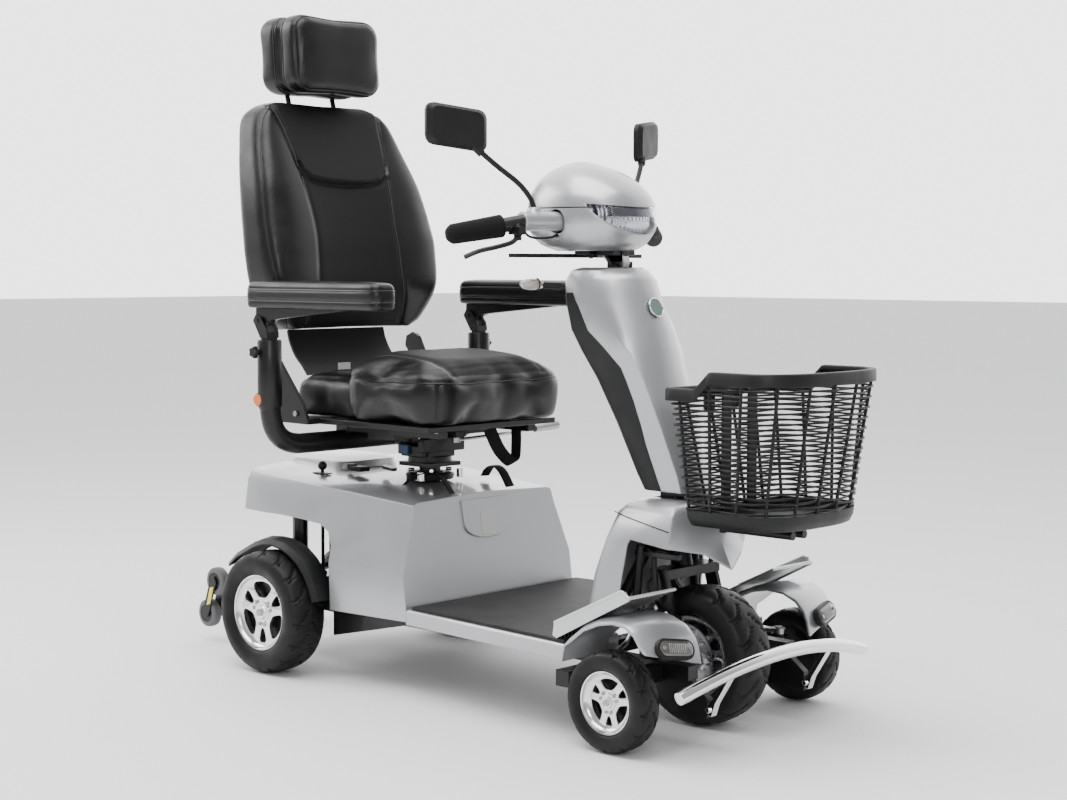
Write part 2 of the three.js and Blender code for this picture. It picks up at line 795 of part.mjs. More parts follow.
function tillerRing([z, rear, shoulder, nose, half], inset) {
  const reach = nose - shoulder;
  const right = [
    [rear + inset, -half * 0.62],
    [rear + 6 + inset * 0.8, -half * 0.86 + inset * 0.7],
    [rear + 20, -half + inset],
    [(rear + shoulder) / 2, -half + inset],
    [shoulder - inset * 0.4, -half * 0.98 + inset],
    [shoulder + reach * 0.45 - inset, -half * 0.8 + inset * 0.6],
    [shoulder + reach * 0.85 - inset, -half * 0.42],
    [nose - inset, 0],
  ];
  const left = right.slice(0, -1).reverse();
  return [...right, ...left.map(([x, y]) => [x, -y])].map(([x, y]) => [x, y, z]);
}

function tillerSkin() {
  const last = TILLER_ROWS.length - 1;
  const outer = loft(TILLER_ROWS.map((row) => tillerRing(row, 0)));
  const inner = loft(
    TILLER_ROWS.map(([z, ...rest], i) => {
      const height = i === 0 ? z - 10 : i === last ? z - 4 : z;
      return tillerRing([height, ...rest], 3.5);
    }),
  );
  const slot = box([752, 818], [-30, 30], [880, 960]);
  return cut(outer, [inner, slot]);
}

// The side outline of the rider-side panel, from the tiller's foot up to the cap.
function panelOutline(margin) {
  return [
    [600, 400],
    [936 + margin, 440],
    [935 + margin, 468],
    [900 + margin, 560],
    [874 + margin, 650],
    [850 + margin, 715],
    [812 + margin, 755],
    [775 + margin, 790],
    [752 + margin, 838 + margin],
    [735, 866 + margin],
    [600, 866 + margin],
  ];
}

function tillerShell() {
  return tillerSkin().subtract(sideProfile(panelOutline(GAP), [-150, 150]));
}

function tillerPanel() {
  return tillerSkin().intersect(sideProfile(panelOutline(0), [-150, 150]));
}

// The tilt clevis, the inner mast, and the bracket with two tubes that carries the basket.
function tillerColumn() {
  const mast = [
    [938, 0, 462],
    [916, 0, 520],
    [872, 0, 640],
    [812, 0, 790],
    [790, 0, 862],
    [784, 0, 894],
  ];
  const ears = SIDES.map(([, side]) => sideBox([916, 944], [19, 27], [423, 466], side));
  const bracket = [
    [930, 467.4],
    [1048, 467.4],
    [1077, 438],
    [1077, 396],
    [1065, 396],
    [1065, 433],
    [1043, 458.8],
    [930, 458.8],
  ];
  const tubes = SIDES.map(([, side]) => rod([1068, side * 19, 405], [1236, side * 19, 405], 8.5, 12));
  const fork = SIDES.map(([, side]) => sideBox([770, 798], [13, 19], [880, 930], side));
  const cable = mast.map(([x, y, z]) => [x, y - 15, z]);
  return join([
    bentRod(mast, 14, 12, 10),
    cableRun(cable),
    ...ears,
    box([914, 946], [-27, 27], [456, 464]),
    sideProfile(bracket, [-28, 28]),
    ...tubes,
    ...fork,
    box([774, 794], [-19, 19], [880, 890]),
  ]).subtract(rod([TILT_PIVOT.x, -40, TILT_PIVOT.z], [TILT_PIVOT.x, 40, TILT_PIVOT.z], 4, 12));
}

function indicator(side) {
  const lamp = new THREE.SphereGeometry(1, 12, 8);
  lamp.scale(15, 27, 12);
  lamp.rotateZ(side * 0.42);
  lamp.translate(664, side * 143, 883);
  return join([solidOf(lamp), rod([676, side * 122, 881], [697.5, side * 92, 879], 6.5, 12)]);
}

// The basket's outline at a height: straight at the back, bowed at the front, pulled in by an inset.
function basketRing(z, inset) {
  const t = (z - BASKET.low) / (BASKET.rim - BASKET.low);
  const half = 158 + 32 * t - inset;
  const front = BASKET.front - 34 * (1 - t) - inset;
  const rear = BASKET.rear + 34 * (1 - t) + inset;
  const bow = 96;
  const ring = arc(1, -Math.PI / 2, Math.PI / 2, 8).map(({ x, y }) => {
    return [front - bow + bow * Math.max(0, x) ** 0.8, half * Math.sign(y) * Math.abs(y) ** 0.7, z];
  });
  ring.push([rear + 14, half, z], [rear, half - 14, z], [rear, -half + 14, z], [rear + 14, -half, z]);
  return ring;
}

function basket() {
  const { low, rim: top, wall } = BASKET;
  const outer = loft([low, low + 14, 600, top].map((z, i) => basketRing(z, i === 0 ? 12 : 0)));
  const hollow = [low + wall, low + 18, 600, top + 4];
  const inner = loft(hollow.map((z, i) => basketRing(z, i === 0 ? wall + 10 : wall)));
  const rearStep = [
    [1000, 690],
    [1125, 690],
    [1160, top + 1],
    [1000, top + 1],
  ];
  return cut(outer, [inner, sideProfile(rearStep, [-300, 300])]);
}

// ---- Head ---------------------------------------------------------------------------------------------

// [height, half-length, half-width, centre x] of the domed head.
const HEAD_ROWS = [
  [952, 84, 68, 712],
  [966, 116, 92, 706],
  [990, 136, 110, 703],
  [1012, 142, 117, 703],
  [1040, 141, 116, 701],
  [1070, 130, 108, 696],
  [1098, 105, 90, 688],
  [1120, 72, 62, 680],
  [1134, 34, 30, 673],
];
const HEAD_SPLIT = 1040;
const BAR = { x: 706, z: 1012, radius: 11 };

function headRing([z, length, width, centre], inset) {
  const ring = [];
  const count = 20;
  for (let i = 0; i < count; i++) {
    const angle = (2 * Math.PI * i) / count;
    const [c, s] = [Math.cos(angle), Math.sin(angle)];
    const squash = 0.9; // a little squarer than an ellipse
    const x = Math.sign(c) * Math.abs(c) ** squash * (length - inset);
    const y = Math.sign(s) * Math.abs(s) ** squash * (width - inset);
    ring.push([centre + x, y, z]);
  }
  return ring;
}

function headSkin() {
  const outer = loft(HEAD_ROWS.map((row) => headRing(row, 0)));
  const inner = loft(HEAD_ROWS.map(([z, ...rest]) => headRing([z < 1000 ? z + 4 : z - 4, ...rest], 4)));
  const bars = rod([BAR.x - 2, -200, BAR.z], [BAR.x - 2, 200, BAR.z], 25, 16);
  const cableHole = rod([694, -130, 980], [702, -90, 985], 6, 10);
  return cut(outer, [inner, bars, cableHole]);
}

// The headlamp's region of the head's nose, flat on top and round below, grown by a margin.
function lampRegion(margin) {
  const half = 100 + margin;
  const steps = 10;
  const across = Array.from({ length: steps + 1 }, (_, i) => -Math.cos((Math.PI * i) / steps));
  const lower = across.map((t) => [t * half, 1046 + margin - (60 + 2 * margin) * Math.sqrt(1 - t * t)]);
  const upper = across.slice(1, -1).map((t) => [t * half, 1040 + margin + 6 * t * t]);
  const outline = [...lower, ...upper.reverse()];
  const ring = (x) => outline.map(([y, z]) => [x, y, z]);
  return loft([ring(745), ring(900)]);
}

function headCover() {
  const upper = box([400, 1000], [-300, 300], [HEAD_SPLIT + GAP / 2, 1300]);
  return headSkin().intersect(upper).subtract(lampRegion(GAP)).subtract(alongKnob(-14, 10, 5.4));
}

function headBase() {
  const lower = box([400, 1000], [-300, 300], [900, HEAD_SPLIT - GAP / 2]);
  const drop = HEAD_PIVOT.z;
  return join([
    headSkin().intersect(lower).subtract(lampRegion(GAP)),
    sideProfile(
      [
        [735, 958],
        [735, 948],
        [772, drop - 10],
        [793, drop - 10],
        [800, drop + 12],
        [790, 958],
      ],
      [-9, 9],
    ),
    rod([THROTTLE.x, 0, THROTTLE.low - 2], [THROTTLE.x, 0, 956], 4.5, 12),
  ]);
}

function headlamp() {
  return headSkin().intersect(lampRegion(0));
}

function handlebar() {
  const cable = [
    [684, -192, 1002],
    [686, -180, 983],
    [691, -150, 977],
    [698, -110, 982],
    [704, -72, 1003],
  ];
  const parts = [cableRun(cable)];
  for (const [, side] of SIDES) {
    const path = [
      [BAR.x, 0, BAR.z],
      [BAR.x, side * 104, BAR.z],
      [684, side * 196, BAR.z - 1],
      [664, side * 228, 1002],
      [602, side * 329, 982],
    ];
    parts.push(rod(path[0], path[1], BAR.radius, 12));
    parts.push(rod(path[1], path[2], 20, 12));
    parts.push(rod(path[2], path[3], 15, 12));
    parts.push(rod(path[3], path[4], 22.5, 14, 19));
    parts.push(rod([690, side * 166, 1014], [686, side * 160, 1033], 18, 12, 15)); // mirror boss
  }
  return join(parts);
}

function brakeLever() {
  const points = [
    [692, -214, 979],
    [698, -238, 968],
    [690, -276, 958],
    [674, -308, 950],
    [657, -332, 938],
  ];
  return bentRod(points, 5, 10, 14).add(rod([690, -213, 972], [690, -213, 986], 8, 14));
}

function throttleLever() {
  const { x, low, high } = THROTTLE;
  const hub = rod([x, 0, low], [x, 0, high], 18, 20);
  const parts = [hub];
  for (const [, side] of SIDES) {
    parts.push(rod([x, side * 12, 942], [672, side * 120, 942], 4.2, 10));
    const paddle = [
      [666, side * 118],
      [680, side * 114],
      [676, side * 196],
      [652, side * 200],
    ];
    parts.push(loft([low, high].map((z) => paddle.map(([u, v]) => [u, v, z]))));
  }
  return join(parts).subtract(rod([x, 0, low - 5], [x, 0, high + 5], 5.2, 12));
}

function mirror(side) {
  const stalk = [
    [686, side * 160, 1037.5],
    [683, side * 163, 1052],
    [668, side * 181, 1084],
    [643, side * 224, 1122],
    [626, side * 254, 1150],
  ];
  const centre = new THREE.Vector3(600, side * 298, 1199);
  const outline = roundedRing(0, 0, 66, 42, 17, 4);
  const back = outline.map(([u, v]) => [u * 0.86, v * 0.84]);
  const place = ([u, v], depth) => [centre.x + depth, centre.y + side * u, centre.z + v + u * 0.12];
  const shell = loft([
    outline.map((p) => place(p, -7)),
    outline.map((p) => place(p, 3)),
    back.map((p) => place(p, 12)),
  ]);
  const swing = turned(shell, centre, new THREE.Vector3(0, 0, 1), side * 0.38);
  const neck = rod([627, side * 252, 1146], [606, side * 284, 1184], 8.5, 10);
  return join([bentRod(stalk, 5.5, 8, 9), neck, swing]);
}

// A rod along the speed knob's shaft, between two distances out from the face of the head.
function alongKnob(from, to, radius, endRadius = radius) {
  const at = (distance) => SPEED_KNOB.clone().addScaledVector(SPEED_KNOB_AXIS, distance).toArray();
  return rod(at(from), at(to), radius, 20, endRadius);
}

function speedKnob() {
  return alongKnob(1.5, 15, 15, 13).add(alongKnob(-12, 3, 4.6));
}

// ---- Seat ---------------------------------------------------------------------------------------------

function seatPost() {
  const { x, radius } = SEAT_POST;
  return rod([x, 0, 214], [x, 0, 468], radius, 20).add(box([x - 50, x + 50], [-50, 50], [464, 473]));
}

function swivelLever() {
  const ring = roundedRing(0, 0, 44, 13, 12, 4);
  const at = (z) => ring.map(([u, v]) => [142 + u * 0.82 - v * 0.3, -62 - u * 0.35 + v, z]);
  return loft([at(453), at(460)]);
}

function swivelBase() {
  const { x } = SEAT_POST;
  const rails = SIDES.map(([, side]) => sideBox([104, 400], [128, 152], [545, PAN.low - 0.6], side));
  const leverSeat = box([x + 40, 300], [-4, 28], [533, 546]);
  return join([
    rod([x, 0, 473.6], [x, 0, 486], 50, 24),
    box([x - 38, x + 38], [-42, 42], [485, 534]),
    box([x - 42, x + 42], [-152, 152], [533, 546]),
    leverSeat,
    ...rails,
  ]);
}

function slideLever() {
  return join([
    rod([286, 12, 520], [286, 12, 531], 9, 10),
    bentRod(
      [
        [286, 12, 526],
        [290, 90, 528],
        [292, 200, 532],
        [290, 280, 536],
      ],
      4,
      8,
      8,
    ),
    rod([290, 268, 535.5], [290, 345, 540], 8.5, 14, 11),
  ]);
}

// Seat pan, the U-shaped tube with its armrest receivers, and the recline plates of the backrest.
function seatFrame() {
  const parts = [
    box([-50, 418], [-200, 200], [PAN.low, PAN.high]),
    bentRod(
      [
        [RECEIVER.x, -RECEIVER.y, 640],
        [RECEIVER.x, -RECEIVER.y, 590],
        [RECEIVER.x, -314, 552],
        [RECEIVER.x, -278, RECEIVER.cross + 2],
        [RECEIVER.x, -230, RECEIVER.cross],
        [RECEIVER.x, 0, RECEIVER.cross],
        [RECEIVER.x, 230, RECEIVER.cross],
        [RECEIVER.x, 278, RECEIVER.cross + 2],
        [RECEIVER.x, 314, 552],
        [RECEIVER.x, RECEIVER.y, 590],
        [RECEIVER.x, RECEIVER.y, 640],
      ],
      23,
      10,
      20,
    ),
    box([22, 62], [-120, 120], [540, PAN.low + 2]),
  ];
  for (const [, side] of SIDES) {
    const { x, y, radius, top } = RECEIVER;
    parts.push(rod([x, side * y, 600], [x, side * y, top], radius, 16));
    parts.push(rod([x - 8, side * (y + 20), 728], [x - 8, side * (y + 32), 729], 5, 10));
    parts.push(rod([x - 8, side * (y + 31), 729], [x - 8, side * (y + 43), 730], 14, 10));
    const plate = [
      [-34, PAN.low],
      [62, PAN.low],
      [44, 606],
      [-50, 716],
      [-66, 746],
      [-90, 756],
      [-112, 746],
      [-116, 722],
      [-100, 702],
      [-44, 636],
    ];
    parts.push(sideProfile(plate, side > 0 ? [228, 236] : [-236, -228]));
    parts.push(sideBox([-30, 60], [196, 234], [PAN.low, PAN.high], side));
  }
  const bores = SIDES.flatMap(([, side]) => [
    box([RECEIVER.x - 13.5, RECEIVER.x + 13.5], boreSpan(side), [650, 800]),
    rod([RECLINE.x, side * 220, RECLINE.z], [RECLINE.x, side * 240, RECLINE.z], 6.6, 14),
  ]);
  return cut(join(parts), bores);
}

function boreSpan(side) {
  const [low, high] = [RECEIVER.y - 13.5, RECEIVER.y + 13.5];
  return side > 0 ? [low, high] : [-high, -low];
}

// The wide front of the cushion, and the narrower tongue that runs back under the backrest.
function seatCushion() {
  const rows = [
    [577, 150, 208, 60],
    [586, 162, 221, 74],
    [640, 164, 225, 78],
    [682, 162, 223, 76],
    [697, 148, 206, 64],
    [704, 118, 172, 48],
  ];
  const front = loft(
    rows.map(([z, halfX, halfY, r]) => {
      const plan = roundedRing(294, 0, halfX, halfY, r);
      return plan.map(([x, y]) => [x, y, z - (z > 650 ? (x - 294) * 0.08 : 0)]);
    }),
  );
  const tongueRows = [
    [577, 118, 186, 30],
    [590, 126, 194, 34],
    [648, 126, 194, 34],
    [660, 112, 180, 24],
  ];
  const tongue = loft(
    tongueRows.map(([z, halfX, halfY, r]) => roundedRing(62, 0, halfX, halfY, r).map(([x, y]) => [x, y, z])),
  );
  return front.add(tongue);
}

// [height, rear x, front x, half-width] of the backrest.
const BACK_ROWS = [
  [768, -128, -56, 196],
  [790, -136, -42, 226],
  [860, -142, -21, 262],
  [940, -146, -27, 275],
  [1000, -153, -38, 275],
  [1100, -178, -68, 262],
  [1200, -214, -112, 236],
  [1262, -238, -140, 212],
  [1292, -238, -154, 178],
  [1306, -226, -170, 140],
];

function backRing([z, rear, front, half]) {
  const middle = (rear + front) / 2;
  const depth = (front - rear) / 2;
  return roundedRing(middle, 0, depth, half, Math.min(depth * 0.8, 34), 4).map(([x, y]) => {
    const wing = (Math.abs(y) / half) ** 2; // the sides reach further forward than the middle
    return [x + (x > middle ? (wing - 1) * 16 : 0), y, z];
  });
}

function headrestPost(side, from, to, radius) {
  const at = (z) => [-200 - (z - 1306) * 0.3, side * 70, z];
  return rod(at(from), at(to), radius, 12);
}

function backrest() {
  const pad = loft(BACK_ROWS.map(backRing));
  const pivots = SIDES.flatMap(([, side]) => [
    rod([RECLINE.x, side * 226, RECLINE.z], [RECLINE.x, side * 246, RECLINE.z], 6, 14),
    sideProfile(
      [
        [-108, 716],
        [-72, 716],
        [-66, 740],
        [-74, 800],
        [-110, 800],
        [-114, 740],
      ],
      side > 0 ? [237.5, 246] : [-246, -237.5],
    ),
    sideBox([-110, -76], [196, 246], [782, 796], side),
  ]);
  const bores = SIDES.map(([, side]) => headrestPost(side, 1164, 1320, 7.5));
  return cut(join([pad, ...pivots]), bores);
}

function headrest() {
  const rows = [
    [1324, 60, 112, 22],
    [1336, 70, 128, 28],
    [1410, 75, 134, 30],
    [1488, 70, 130, 28],
    [1508, 60, 112, 22],
  ];
  const pad = loft(
    rows.map(([z, halfX, halfY, r]) => {
      const plan = roundedRing(-168 - (z - 1410) * 0.06, 0, halfX, halfY, r);
      return plan.map(([x, y]) => [x, y, z]);
    }),
  );
  const posts = SIDES.map(([, side]) => headrestPost(side, 1180, 1334, 6));
  return join([pad, ...posts]);
}

function armrestPost(side) {
  const { x, y } = RECEIVER;
  const [low, high] = side > 0 ? [y - 12.5, y + 12.5] : [-y - 12.5, -y + 12.5];
  const ears = SIDES.map(([, ear]) => {
    const centre = side * y + ear * 14;
    return sideProfile(
      [
        [x - 12.5, 762],
        [x + 12.5, 762],
        [x + 10, 780],
        [ARM_HINGE.x + 12, 806],
        [ARM_HINGE.x - 6, 810],
        [ARM_HINGE.x - 14, 798],
      ],
      [centre - 3, centre + 3],
    );
  });
  return join([
    box([x - 12.5, x + 12.5], [low, high], [655, 770]),
    box([x - 12.5, x + 12.5], [side * y - 17, side * y + 17], [760, 772]),
    ...ears,
    rod([ARM_HINGE.x, side * y - 19, ARM_HINGE.z], [ARM_HINGE.x, side * y + 19, ARM_HINGE.z], 5, 14),
  ]);
}

function armrestPad(side) {
  const middle = (side * (ARMREST.inner + ARMREST.outer)) / 2;
  const half = (ARMREST.outer - ARMREST.inner) / 2;
  const rows = [
    [ARMREST.low, 0, 4],
    [ARMREST.low + 18, 0, 0],
    [ARMREST.high - 8, 1, 1],
    [ARMREST.high, 8, 8],
  ];
  const { rear, front } = ARMREST;
  const pad = loft(
    rows.map(([z, insetX, insetY]) => {
      const plan = roundedRing((rear + front) / 2, middle, (front - rear) / 2 - insetX, half - insetY, 18, 4);
      return plan.map(([x, y]) => [x, y, z]);
    }),
  );
  const bracket = sideProfile(
    [
      [8, 828],
      [6, 796],
      [14, 786],
      [26, 786],
      [70, 802],
      [300, 824],
      [300, 828],
    ],
    side > 0 ? [RECEIVER.y - 10.5, RECEIVER.y + 10.5] : [-RECEIVER.y - 10.5, -RECEIVER.y + 10.5],
  );
  const pin = [ARM_HINGE.x, ARM_HINGE.z];
  return pad.add(bracket).subtract(rod([pin[0], side * 300, pin[1]], [pin[0], side * 360, pin[1]], 5.6, 14));
}

// ---- Assembly -----------------------------------------------------------------------------------------

const scooter = new THREE.Group();

function addChassis() {
  const chassis = new THREE.Group();
  chassis.add(piece("main_frame", mainFrame(), blackPaint));
  chassis.add(piece("rear_fairing", rearFairing(), silverPaint));
  chassis.add(piece("battery_cover", batteryCover(), silverPaint));
  chassis.add(piece("floor_moulding", floorMoulding(), silverPaint));
  chassis.add(piece("deck_mat", deckMat(), deckRubber));
  chassis.add(piece("front_hood", frontHood(), silverPaint));
  chassis.add(piece("bumper", bumper(), chrome));
  chassis.add(piece("transaxle", transaxle(), darkMetal));
  chassis.add(piece("anti_tip_bracket", tipBracket(), blackPaint));
  chassis.add(piece("freewheel_lever", freewheelLever(), blackPlastic));
  for (const [name, side] of SIDES) {
    chassis.add(piece(`mudguard_${name}`, mudguard(side), blackPlastic));
    chassis.add(piece(`battery_${name}`, battery(side), batteryCase));
    chassis.add(piece(`footplate_${name}`, footplate(side), aluminium));
  }
  scooter.add(chassis);
}

function addWheels() {
  const wheels = new THREE.Group();
  for (const [name, side] of SIDES) {
    const rear = [0, side * REAR_WHEEL.track, REAR_WHEEL.radius];
    wheels.add(piece(`rear_tyre_${name}`, tyre(REAR_WHEEL, ...rear, 28), tyreRubber));
    wheels.add(piece(`rear_rim_${name}`, rim(REAR_WHEEL, ...rear, side, 46, 10.5, 28), alloy));
    const front = [SMALL_WHEEL.x, side * SMALL_WHEEL.y, SMALL_WHEEL.radius];
    wheels.add(piece(`front_tyre_${name}`, tyre(SMALL_WHEEL, ...front, 24), tyreRubber));
    wheels.add(piece(`front_rim_${name}`, rim(SMALL_WHEEL, ...front, side, 26, 7.5, 24), alloy));
  }
  wheels.add(piece("centre_tyre", tyre(CENTRE_WHEEL, WHEELBASE, 0, CENTRE_WHEEL.radius, 28), tyreRubber));
  wheels.add(piece("centre_rim", centreRim(), alloy));
  wheels.add(piece("anti_tip_wheels_upper", tipWheels(TIP_UPPER), greyRubber));
  wheels.add(piece("anti_tip_wheels_lower", tipWheels(TIP_LOWER), greyRubber));
  scooter.add(wheels);
}

function addSteering() {
  const steering = new THREE.Group();
  steering.add(piece("front_fork", frontFork(), blackPaint));
  for (const [name, side] of SIDES) {
    steering.add(piece(`knuckle_${name}`, knuckle(side), darkMetal));
    steering.add(piece(`tie_rod_${name}`, tieRod(side), darkMetal));
  }
  scooter.add(steering);
}

function addTiller() {
  const tiller = new THREE.Group();
  tiller.add(piece("tiller_column", tillerColumn(), blackPaint));
  tiller.add(piece("tiller_shell", tillerShell(), silverPaint));
  tiller.add(piece("tiller_panel", tillerPanel(), blackPlastic));
  tiller.add(piece("basket", basket(), blackPlastic));
  tiller.add(piece("head_cover", headCover(), silverPaint));
  tiller.add(piece("head_base", headBase(), silverPaint));
  tiller.add(piece("headlamp", headlamp(), clearLens));
  tiller.add(piece("handlebar", handlebar(), blackPlastic));
  tiller.add(piece("brake_lever", brakeLever(), blackPaint));
  tiller.add(piece("throttle_lever", throttleLever(), blackPlastic));
  tiller.add(piece("speed_knob", speedKnob(), blackPlastic));
  for (const [name, side] of SIDES) {
    tiller.add(piece(`indicator_${name}`, indicator(side), clearLens));
    tiller.add(piece(`mirror_${name}`, mirror(side), blackPlastic));
  }
  scooter.add(tiller);
}

function addSeat() {
  const seat = new THREE.Group();
  seat.add(piece("seat_post", seatPost(), blackPaint));
  seat.add(piece("swivel_lever", swivelLever(), blackPaint));
  seat.add(piece("swivel_base", swivelBase(), blackPaint));
  seat.add(piece("slide_lever", slideLever(), darkMetal));
  seat.add(piece("seat_frame", seatFrame(), blackPaint));
  seat.add(piece("seat_cushion", seatCushion(), blackVinyl));
  seat.add(piece("backrest", backrest(), blackVinyl));
  seat.add(piece("headrest", headrest(), blackVinyl));
  for (const [name, side] of SIDES) {
    seat.add(piece(`armrest_post_${name}`, armrestPost(side), blackPaint));
    seat.add(piece(`armrest_${name}`, armrestPad(side), blackVinyl));
  }
  scooter.add(seat);
}

addChassis();
addWheels();
addSteering();
addTiller();
addSeat();
scooter.position.x = FRAME_SHIFT;

const model = new THREE.Group();
model.add(scooter);

export default model;
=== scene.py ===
"""The looks of the mobility scooter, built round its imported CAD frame.

Lengths in the shape functions are millimetres, with X measured forwards from the rear axle, Y to the rider's
left and Z up. at() turns such a point into the frame's own metres.
"""

import math

import bmesh
import bpy
import numpy as np
from mathutils import Matrix, Vector
from mathutils.bvhtree import BVHTree


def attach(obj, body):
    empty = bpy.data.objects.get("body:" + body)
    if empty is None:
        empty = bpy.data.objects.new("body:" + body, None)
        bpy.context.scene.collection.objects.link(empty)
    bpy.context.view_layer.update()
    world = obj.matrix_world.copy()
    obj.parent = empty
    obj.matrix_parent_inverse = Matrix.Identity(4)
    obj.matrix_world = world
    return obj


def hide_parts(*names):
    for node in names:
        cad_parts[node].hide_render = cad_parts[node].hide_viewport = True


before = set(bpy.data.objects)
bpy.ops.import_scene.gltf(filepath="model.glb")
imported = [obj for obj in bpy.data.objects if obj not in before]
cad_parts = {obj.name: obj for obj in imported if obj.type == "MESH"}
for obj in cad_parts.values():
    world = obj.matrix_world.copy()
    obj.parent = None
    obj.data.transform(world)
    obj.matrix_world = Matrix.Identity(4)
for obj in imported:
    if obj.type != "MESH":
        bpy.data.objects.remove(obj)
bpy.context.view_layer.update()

AXLE_OFFSET = 461.0  # from the frame's origin back to the rear axle
SIDES = (("left", 1), ("right", -1))

REAR_WHEEL = {"radius": 138.6, "width": 100, "rim": 86.7, "track": 294.5}
CENTRE_WHEEL = {"radius": 140.5, "width": 107, "rim": 86.7, "x": 1008}
SMALL_WHEEL = {"radius": 98, "width": 60, "rim": 62, "x": 1024, "y": 301}
DISH = 22  # how far the spokes stand in from the rim's outer edge
RECEIVER = {"x": 42, "y": 330}
BASKET = {"rear": 1050, "front": 1330, "low": 424, "rim": 724}
GRIP_ENDS = ((664, 228, 1002), (602, 329, 982))


def at(x, y, z):
    return ((x - AXLE_OFFSET) / 1000, y / 1000, z / 1000)


# ---- Shapes ---------------------------------------------------------------------------------------------


def smooth_path(points, steps):
    """Points along a Catmull-Rom curve through the given ones, ends included."""
    p = np.array(points, float)
    p = np.vstack([2 * p[0] - p[1], p, 2 * p[-1] - p[-2]])
    spans = len(p) - 3
    out = []
    for t in np.linspace(0, spans, steps + 1):
        i = min(int(t), spans - 1)
        f = t - i
        a, b, c, d = p[i : i + 4]
        out.append(
            0.5 * (2 * b + (c - a) * f + (2 * a - 5 * b + 4 * c - d) * f**2 + (3 * b - a - 3 * c + d) * f**3)
        )
    return np.array(out)


def rounded_ring(u, v, half_u, half_v, radius, per_corner=8):
    """Points round a rectangle with round corners, centred on (u, v)."""
    ring = []
    for quarter, (su, sv) in enumerate(((1, 1), (-1, 1), (-1, -1), (1, -1))):
        for i in range(per_corner):
            angle = (quarter + i / (per_corner - 1)) * math.pi / 2
            ring.append(
                (
                    u + su * (half_u - radius) + radius * math.cos(angle),
                    v + sv * (half_v - radius) + radius * math.sin(angle),
                )
            )
    return ring


class Shape:
    """Points and faces gathered into one mesh."""

    def __init__(self):
        self.points = []
        self.faces = []

    def add(self, points, faces):
        start = len(self.points)
        self.points += [tuple(float(c) for c in p) for p in points]
        self.faces += [tuple(start + i for i in face) for face in faces]
        return self

    def loft(self, rings, caps=True, closed=True):
        count = len(rings[0])
        wrap = count if closed else count - 1
        faces = []
        for r in range(len(rings) - 1):
            for i in range(wrap):
                a = r * count + i
                b = r * count + (i + 1) % count
                faces.append((a, b, b + count, a + count))
        if caps:
            last = (len(rings) - 1) * count
            faces.append(tuple(reversed(range(count))))
            faces.append(tuple(last + i for i in range(count)))
        return self.add([p for ring in rings for p in ring], faces)

    def tube(self, path, radius, sides=16, flat=1.0):
        """A round bar along a path; radius may be one per point, and flat squeezes the section."""
        path = np.array(path, float)
        radii = np.broadcast_to(radius, (len(path),))
        tangents = np.gradient(path, axis=0)
        tangents /= np.linalg.norm(tangents, axis=1)[:, None]
        guide = np.array([0.0, 0.0, 1.0]) if abs(tangents[0][2]) < 0.9 else np.array([0.0, 1.0, 0.0])
        rings = []
        turns = np.linspace(0, 2 * math.pi, sides, endpoint=False)
        for point, tangent, r in zip(path, tangents, radii):
            across = np.cross(guide, tangent)
            across /= np.linalg.norm(across)
            guide = np.cross(tangent, across)
            rings.append([point + r * (math.cos(t) * across + flat * math.sin(t) * guide) for t in turns])
        return self.loft(rings)

    def rod(self, start, end, radius, sides=32, end_radius=None):
        return self.tube([start, end], [radius, radius if end_radius is None else end_radius], sides)

    def box(self, xs, ys, zs):
        corners = ((xs[0], ys[0]), (xs[1], ys[0]), (xs[1], ys[1]), (xs[0], ys[1]))
        return self.loft([[(x, y, z) for x, y in corners] for z in zs])

    def lathe(self, profile, centre, segments=96):
        """A closed profile of (radius, y) turned about the Y axis through centre."""
        rings = []
        for i in range(segments + 1):
            turn = 2 * math.pi * (i % segments) / segments
            c, s = math.cos(turn), math.sin(turn)
            rings.append([(centre[0] + r * c, centre[1] + y, centre[2] + r * s) for r, y in profile])
        return self.loft(rings, caps=False)

    def side_plate(self, outline, ys):
        """A flat plate with its outline in the X-Z plane, between two values of y."""
        return self.loft([[(x, y, z) for x, z in outline] for y in ys])

    def ball(self, centre, radii, rows=16):
        rings = []
        for i in range(1, rows):
            polar = math.pi * i / rows
            ring = []
            for k in range(2 * rows):
                turn = math.pi * k / rows
                ring.append(
                    (
                        centre[0] + radii[0] * math.sin(polar) * math.cos(turn),
                        centre[1] + radii[1] * math.sin(polar) * math.sin(turn),
                        centre[2] + radii[2] * math.cos(polar),
                    )
                )
            rings.append(ring)
        return self.loft(rings)


def mesh_object(name, shape):
    mesh = bpy.data.meshes.new(name)
    mesh.from_pydata([at(*p) for p in shape.points], [], shape.faces)
    bm = bmesh.new()
    bm.from_mesh(mesh)
    bmesh.ops.remove_doubles(bm, verts=bm.verts, dist=1e-6)
    bmesh.ops.recalc_face_normals(bm, faces=bm.faces)
    bm.to_mesh(mesh)
    bm.free()
    made = bpy.data.objects.new(name, mesh)
    bpy.context.scene.collection.objects.link(made)
    return made


def shade(obj, angle=38):
    for polygon in obj.data.polygons:
        polygon.use_smooth = True
    obj.data.set_sharp_from_angle(angle=math.radians(angle))


def dress(obj, material, body, stands_for=(), bevel=0.0, angle=38):
    """Gives a new object its material, its shading, its rounded edges and the body it rides on."""
    obj.data.materials.clear()
    obj.data.materials.append(material)
    shade(obj, angle)
    if bevel:
        rounding = obj.modifiers.new("edges", "BEVEL")
        rounding.width = bevel / 1000
        rounding.segments = 2
        rounding.limit_method = "ANGLE"
        rounding.angle_limit = math.radians(angle)
    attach(obj, body)
    if stands_for:
        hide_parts(*stands_for)
    return obj


